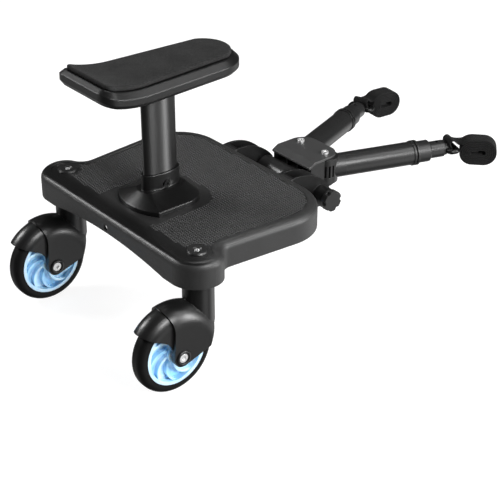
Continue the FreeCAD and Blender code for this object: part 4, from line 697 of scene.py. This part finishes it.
def make_pad():
    """Foam pad: rounded edge, top that follows the shell, drawn in a little under the edge."""
    rings = []
    for inset, rise in PAD_SECTION:
        rings.append([(p, rise * PAD_THICK) for p in seat_edge(PAD_INSET + inset * MM)])
    inner = seat_edge(PAD_INSET + PAD_SECTION[-1][0] * MM)
    nose = PAD_FRONT - PAD_NOSE
    for share in PAD_TOP_SHARES:
        ring = []
        for p in inner:
            spine = Vector((0, min(max(p.y, PAD_REAR_ROUND - PAD_REAR), nose)))
            ring.append((spine.lerp(p, share), PAD_THICK))
        rings.append(ring)
    count = len(inner)
    points = []
    for ring in rings:
        for place, rise in ring:
            points.append(Vector((POST.x + place.x, POST.y + place.y,
                                  SEAT_TOP + PAD_LIFT + seat_line(place.y) + rise)))
    faces = ring_quads(0, count, len(rings))
    faces.append(tuple(reversed(range(count))))
    last = (len(rings) - 1) * count
    half = count // 2
    for index in range(half):
        low, high = last + index, last + (count - index) % count
        low_after, high_after = last + index + 1, last + (count - index - 1) % count
        unique = list(dict.fromkeys((low, low_after, high_after, high)))
        if len(unique) > 2:
            faces.append(tuple(unique))
    pad = new_piece("foam_pad", mesh_of("foam_pad", points, faces), FOAM, "board")
    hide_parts("seat_pad")


make_pad()


# Rolled webbing straps

STRAP_THICK = 2.2 * MM
STRAP_GAP = 0.7 * MM
STRAP_LOOPS = 6
ROLL_CORE = 3.55 * MM
ROLL_HALF = 8.5 * MM
ROLL_AHEAD = 37.8 * MM
ROLL_DROP = 3.5 * MM
ROLL_ENTRY = math.radians(40)
ROLL_SWING = math.radians(27)
LOOP_LIFT = 12 * MM
LOOP_LEAN = math.radians(30)
LOOP_STEEP = math.radians(45)
LOOP_DROP = 4 * MM
LOOP_RADIUS = 5 * MM
TAIL_TURN = math.radians(25)
RING_BAR = 4 * MM
RING_FAR = 213.5 * MM
FREE_GAP = 0.3 * MM
ARM_SPLAY = math.radians(20)
STRAP_STEP = 0.8 * MM


class Walk:
    """A route of straight runs and turns in a plane, kept as close points with their headings."""

    def __init__(self, at, heading):
        self.at = at
        self.heading = heading
        self.points = []

    def ahead(self, turn=0.0):
        """Unit vector at an angle to the heading."""
        return pointing(self.heading + turn)

    def run(self, length):
        """Straight on."""
        count = max(1, round(length / STRAP_STEP))
        for index in range(count):
            self.points.append((self.at + self.ahead() * (length * index / count), self.heading))
        self.at = self.at + self.ahead() * length

    def turn(self, radius, angle):
        """Along an arc, to the left for a positive angle."""
        hand = math.copysign(1, angle)
        centre = self.at + self.ahead(hand * math.pi / 2) * radius
        count = max(2, round(radius * abs(angle) / STRAP_STEP))
        spoke = self.at - centre
        for index in range(count):
            part = angle * index / count
            self.points.append((centre + Matrix.Rotation(part, 2) @ spoke, self.heading + part))
        self.at = centre + Matrix.Rotation(angle, 2) @ spoke
        self.heading += angle


def strap_route():
    """The strap's middle line along the arm and up, with its heading and its sideways swing."""
    wrap = RING_BAR + FREE_GAP + STRAP_THICK / 2
    start = -math.pi / 2 - TAIL_TURN
    loop = Walk(Vector((RING_FAR, 0)) + wrap * pointing(start), math.pi - TAIL_TURN)
    loop.turn(wrap, LOOP_LEAN + TAIL_TURN - math.pi / 2)
    loop.run(LOOP_LIFT)
    loop.turn(LOOP_RADIUS, -math.pi / 2 - LOOP_LEAN - LOOP_STEEP)
    loop.run(LOOP_DROP)
    pitch = STRAP_THICK + STRAP_GAP
    half_loops = 2 * STRAP_LOOPS
    outer = ROLL_CORE + (half_loops - 1) * pitch / 2
    first = outer + pitch / 2
    centre = Vector((RING_FAR + ROLL_AHEAD - ROLL_HALF, -ROLL_DROP - pitch / 2))
    roll = Walk(centre + first * pointing(math.pi / 2 + ROLL_ENTRY), ROLL_ENTRY)
    twist = twist_route(loop.at, loop.heading, roll.at, ROLL_ENTRY)
    roll.turn(first, -ROLL_ENTRY)
    for index in range(half_loops):
        roll.run(2 * ROLL_HALF)
        roll.turn(outer - index * pitch / 2, -math.pi)
    roll.run(ROLL_HALF)
    roll.points.append((roll.at, roll.heading))
    route = [(p, heading, 0.0) for p, heading in loop.points]
    route += twist
    route += [(p, heading, ROLL_SWING) for p, heading in roll.points]
    return route


TWIST_STEPS = 36
TWIST_PULL = 0.4


def twist_route(begin, begin_heading, end, end_heading):
    """Smooth stretch between the loop and the roll, which swings sideways as it goes."""
    pull = TWIST_PULL * (end - begin).length
    ahead = begin + pull * pointing(begin_heading)
    before = end - pull * pointing(end_heading)
    route = []
    for index in range(TWIST_STEPS):
        part = index / TWIST_STEPS
        rest = 1 - part
        place = (rest ** 3 * begin + 3 * rest * rest * part * ahead + 3 * rest * part * part * before
                 + part ** 3 * end)
        flow = (rest * rest * (ahead - begin) + 2 * rest * part * (before - ahead)
                + part * part * (end - before))
        route.append((place, math.atan2(flow.y, flow.x), ROLL_SWING * part * part * (3 - 2 * part)))
    return route


# Quarter of the strap's section: share of half its width, share of half its thickness
STRAP_SECTION = ((1.0, 0.0), (0.985, 0.6), (0.94, 0.95), (0.75, 1.0), (0.5, 1.0), (0.25, 1.0), (0.0, 1.0))
# Thinner and thicker stations in turn, for the ribs across the weave
STRAP_RIBS = (0.97, 1.05)


def strap_ring_points():
    """The strap's whole section going round, as shares of half its width and half its thickness."""
    quarter = list(STRAP_SECTION)
    upper = quarter + [(-x, z) for x, z in reversed(quarter[:-1])]
    return upper + [(x, -z) for x, z in reversed(upper[1:-1])]


def make_strap(side, sign):
    """One unbroken band of webbing, looped round its ring and rolled up."""
    pivot = Vector(joints[f"{side}_arm_splay"]["pos_m"])
    arm_height = middle(f"{side}_outer_tube").z
    splay = Matrix.Rotation(-sign * ARM_SPLAY, 4, "Z")
    place = Matrix.Translation((pivot.x, pivot.y, arm_height)) @ splay
    section = strap_ring_points()
    count = len(section)
    hub = Vector((0, RING_FAR, 0))
    points, marks, along = [], [], 0.0
    previous = None
    route = strap_route()
    for index, (spot, heading, swing) in enumerate(route):
        along += (spot - previous).length if previous else 0.0
        previous = spot
        rise = Vector((0, -math.sin(heading), math.cos(heading))) * STRAP_THICK / 2
        ripple = STRAP_RIBS[index % 2]
        turn = Matrix.Rotation(-swing, 3, "Z")
        for x, z in section:
            local = Vector((x * STRAP_WIDTH / 2, spot.x, spot.y)) + rise * (z * ripple)
            points.append(place @ (hub + turn @ (local - hub)))
            marks.append((along, x * STRAP_WIDTH / 2))
    faces = flipped(ring_quads(0, count, len(route)))
    faces.append(tuple(range(count)))
    faces.append(tuple(reversed(range(len(points) - count, len(points)))))
    mesh = mesh_of(f"{side}_webbing", points, faces)
    layer = mesh.uv_layers.new(name="strap")
    for loop in mesh.loops:
        layer.data[loop.index].uv = marks[loop.vertex_index]
    strap = new_piece(f"{side}_webbing", mesh, WEBBING, f"{side}_extension")
    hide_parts(f"{side}_strap")


for side_name, side_sign in SIDES:
    make_strap(side_name, side_sign)


# Stage

FLOOR_HALF = 40.0
FLOOR_GLOW = 0.88
WALL_RADIUS = 39.0
WALL_HEIGHT = 14.0
WALL_STEPS = 64
WALL_GLOW = 0.77


def pale_finish(name, glow):
    """Plain pale stage, lit a little from within."""
    finish = Finish(name, roughness=0.9, specular_ior_level=0.1,
                    emission_color=grey(1.0), emission_strength=glow)
    cloud = finish.noise(0.6, 2)
    finish.link(finish.blend(cloud, grey(0.24), grey(0.26)), "Base Color")
    return finish.material


def make_floor():
    """Plain pale floor."""
    half = FLOOR_HALF
    corners = [(-half, -half, 0), (half, -half, 0), (half, half, 0), (-half, half, 0)]
    mesh = mesh_of("floor", corners, [(0, 1, 2, 3)], smooth=False)
    floor = new_object("floor", mesh, pale_finish("floor", FLOOR_GLOW))
    floor.visible_glossy = False


def make_backdrop():
    """Plain pale wall far round the floor, which only the camera sees."""
    turns = [2 * math.pi * index / WALL_STEPS for index in range(WALL_STEPS)]
    points = []
    for z in (0, WALL_HEIGHT):
        points += [(WALL_RADIUS * math.cos(turn), WALL_RADIUS * math.sin(turn), z) for turn in turns]
    mesh = mesh_of("backdrop", points, flipped(ring_quads(0, WALL_STEPS, 2)))
    wall = new_object("backdrop", mesh, pale_finish("backdrop", WALL_GLOW))
    wall.visible_glossy = False
    wall.visible_diffuse = False
    wall.visible_transmission = False
    wall.visible_shadow = False


def make_light(name, location, target, size, power):
    """A softbox aimed at a point."""
    data = bpy.data.lights.new(name, "AREA")
    data.shape = "RECTANGLE"
    data.size, data.size_y = size
    data.energy = power
    light = bpy.data.objects.new(name, data)
    light.location = location
    light.rotation_euler = (Vector(target) - Vector(location)).to_track_quat("-Z", "Y").to_euler()
    scene.collection.objects.link(light)


# Soft bright patches low round the studio: direction, brightness, cosines where each starts and is full
GLOWS = (
    ((0.16, 0.85, -0.5), 1.2, 0.9, 0.99),
    ((-0.67, -0.55, -0.5), 0.42, 0.75, 0.95),
    ((-0.5, 0.55, -0.66), 0.4, 0.75, 0.97),
    ((0.87, 0.22, -0.45), 1.0, 0.9, 0.985),
)
DIM = 0.06


def make_world():
    """Dim surroundings with soft bright patches."""
    world = bpy.data.worlds.new("studio")
    world.use_nodes = True
    tree = world.node_tree
    background = tree.nodes["Background"]
    background.inputs["Color"].default_value = grey(1.0)
    towards = add_node(tree, "TexCoord").outputs["Generated"]
    total = DIM
    for direction, brightness, start, full in GLOWS:
        middle_way = Vector(direction).normalized()
        nearness = add_node(tree, "VectorMath", {0: towards, 1: middle_way}, operation="DOT_PRODUCT")
        patch = add_node(tree, "MapRange", {
            "Value": nearness.outputs["Value"], "From Min": start, "From Max": full,
            "To Min": 0.0, "To Max": brightness}, interpolation_type="SMOOTHSTEP")
        addition = add_node(tree, "Math", {0: patch.outputs["Result"], 1: total}, operation="ADD")
        total = addition.outputs["Value"]
    tree.links.new(total, background.inputs["Strength"])
    scene.world = world


# Softboxes: name, place, width and height, power in watts
LIGHTS = (
    ("right_box", (1.72, -0.1, 1.2), (0.65, 0.65), 38),
    ("front_box", (0.96, 0.9, 1.5), (0.8, 0.8), 10),
    ("over_box", (-0.35, 0.35, 1.6), (0.4, 0.4), 6),
    ("rear_box", (-1.34, -1.1, 1.3), (0.6, 0.6), 26),
    ("front_strip", (1.35, 0.85, 0.45), (0.2, 0.9), 26),
)
AIM = (0, -0.1, 0.2)

# Camera: heading left of +Y, pitch down, place, focal length in pixels of the square image
VIEW_HEAD = math.radians(50.42)
VIEW_PITCH = math.radians(29.93)
VIEW_PLACE = (1.38439, -1.17672, 1.0826)
IMAGE_SIDE = 500
FOCAL_PIXELS = 1381.64
SENSOR_WIDTH = 36.0


def make_camera():
    """Camera at the photograph's place and angle."""
    data = bpy.data.cameras.new("camera")
    data.sensor_width = SENSOR_WIDTH
    data.lens = data.sensor_width * FOCAL_PIXELS / IMAGE_SIDE
    camera = bpy.data.objects.new("camera", data)
    level = math.cos(VIEW_PITCH)
    forward = Vector((-math.sin(VIEW_HEAD) * level, math.cos(VIEW_HEAD) * level, -math.sin(VIEW_PITCH)))
    camera.location = VIEW_PLACE
    camera.rotation_euler = forward.to_track_quat("-Z", "Y").to_euler()
    scene.collection.objects.link(camera)
    scene.camera = camera


make_floor()
make_backdrop()
make_world()
for light_name, spot, size, power in LIGHTS:
    make_light(light_name, spot, AIM, size, power)
make_camera()
scene.view_settings.view_transform = "Standard"
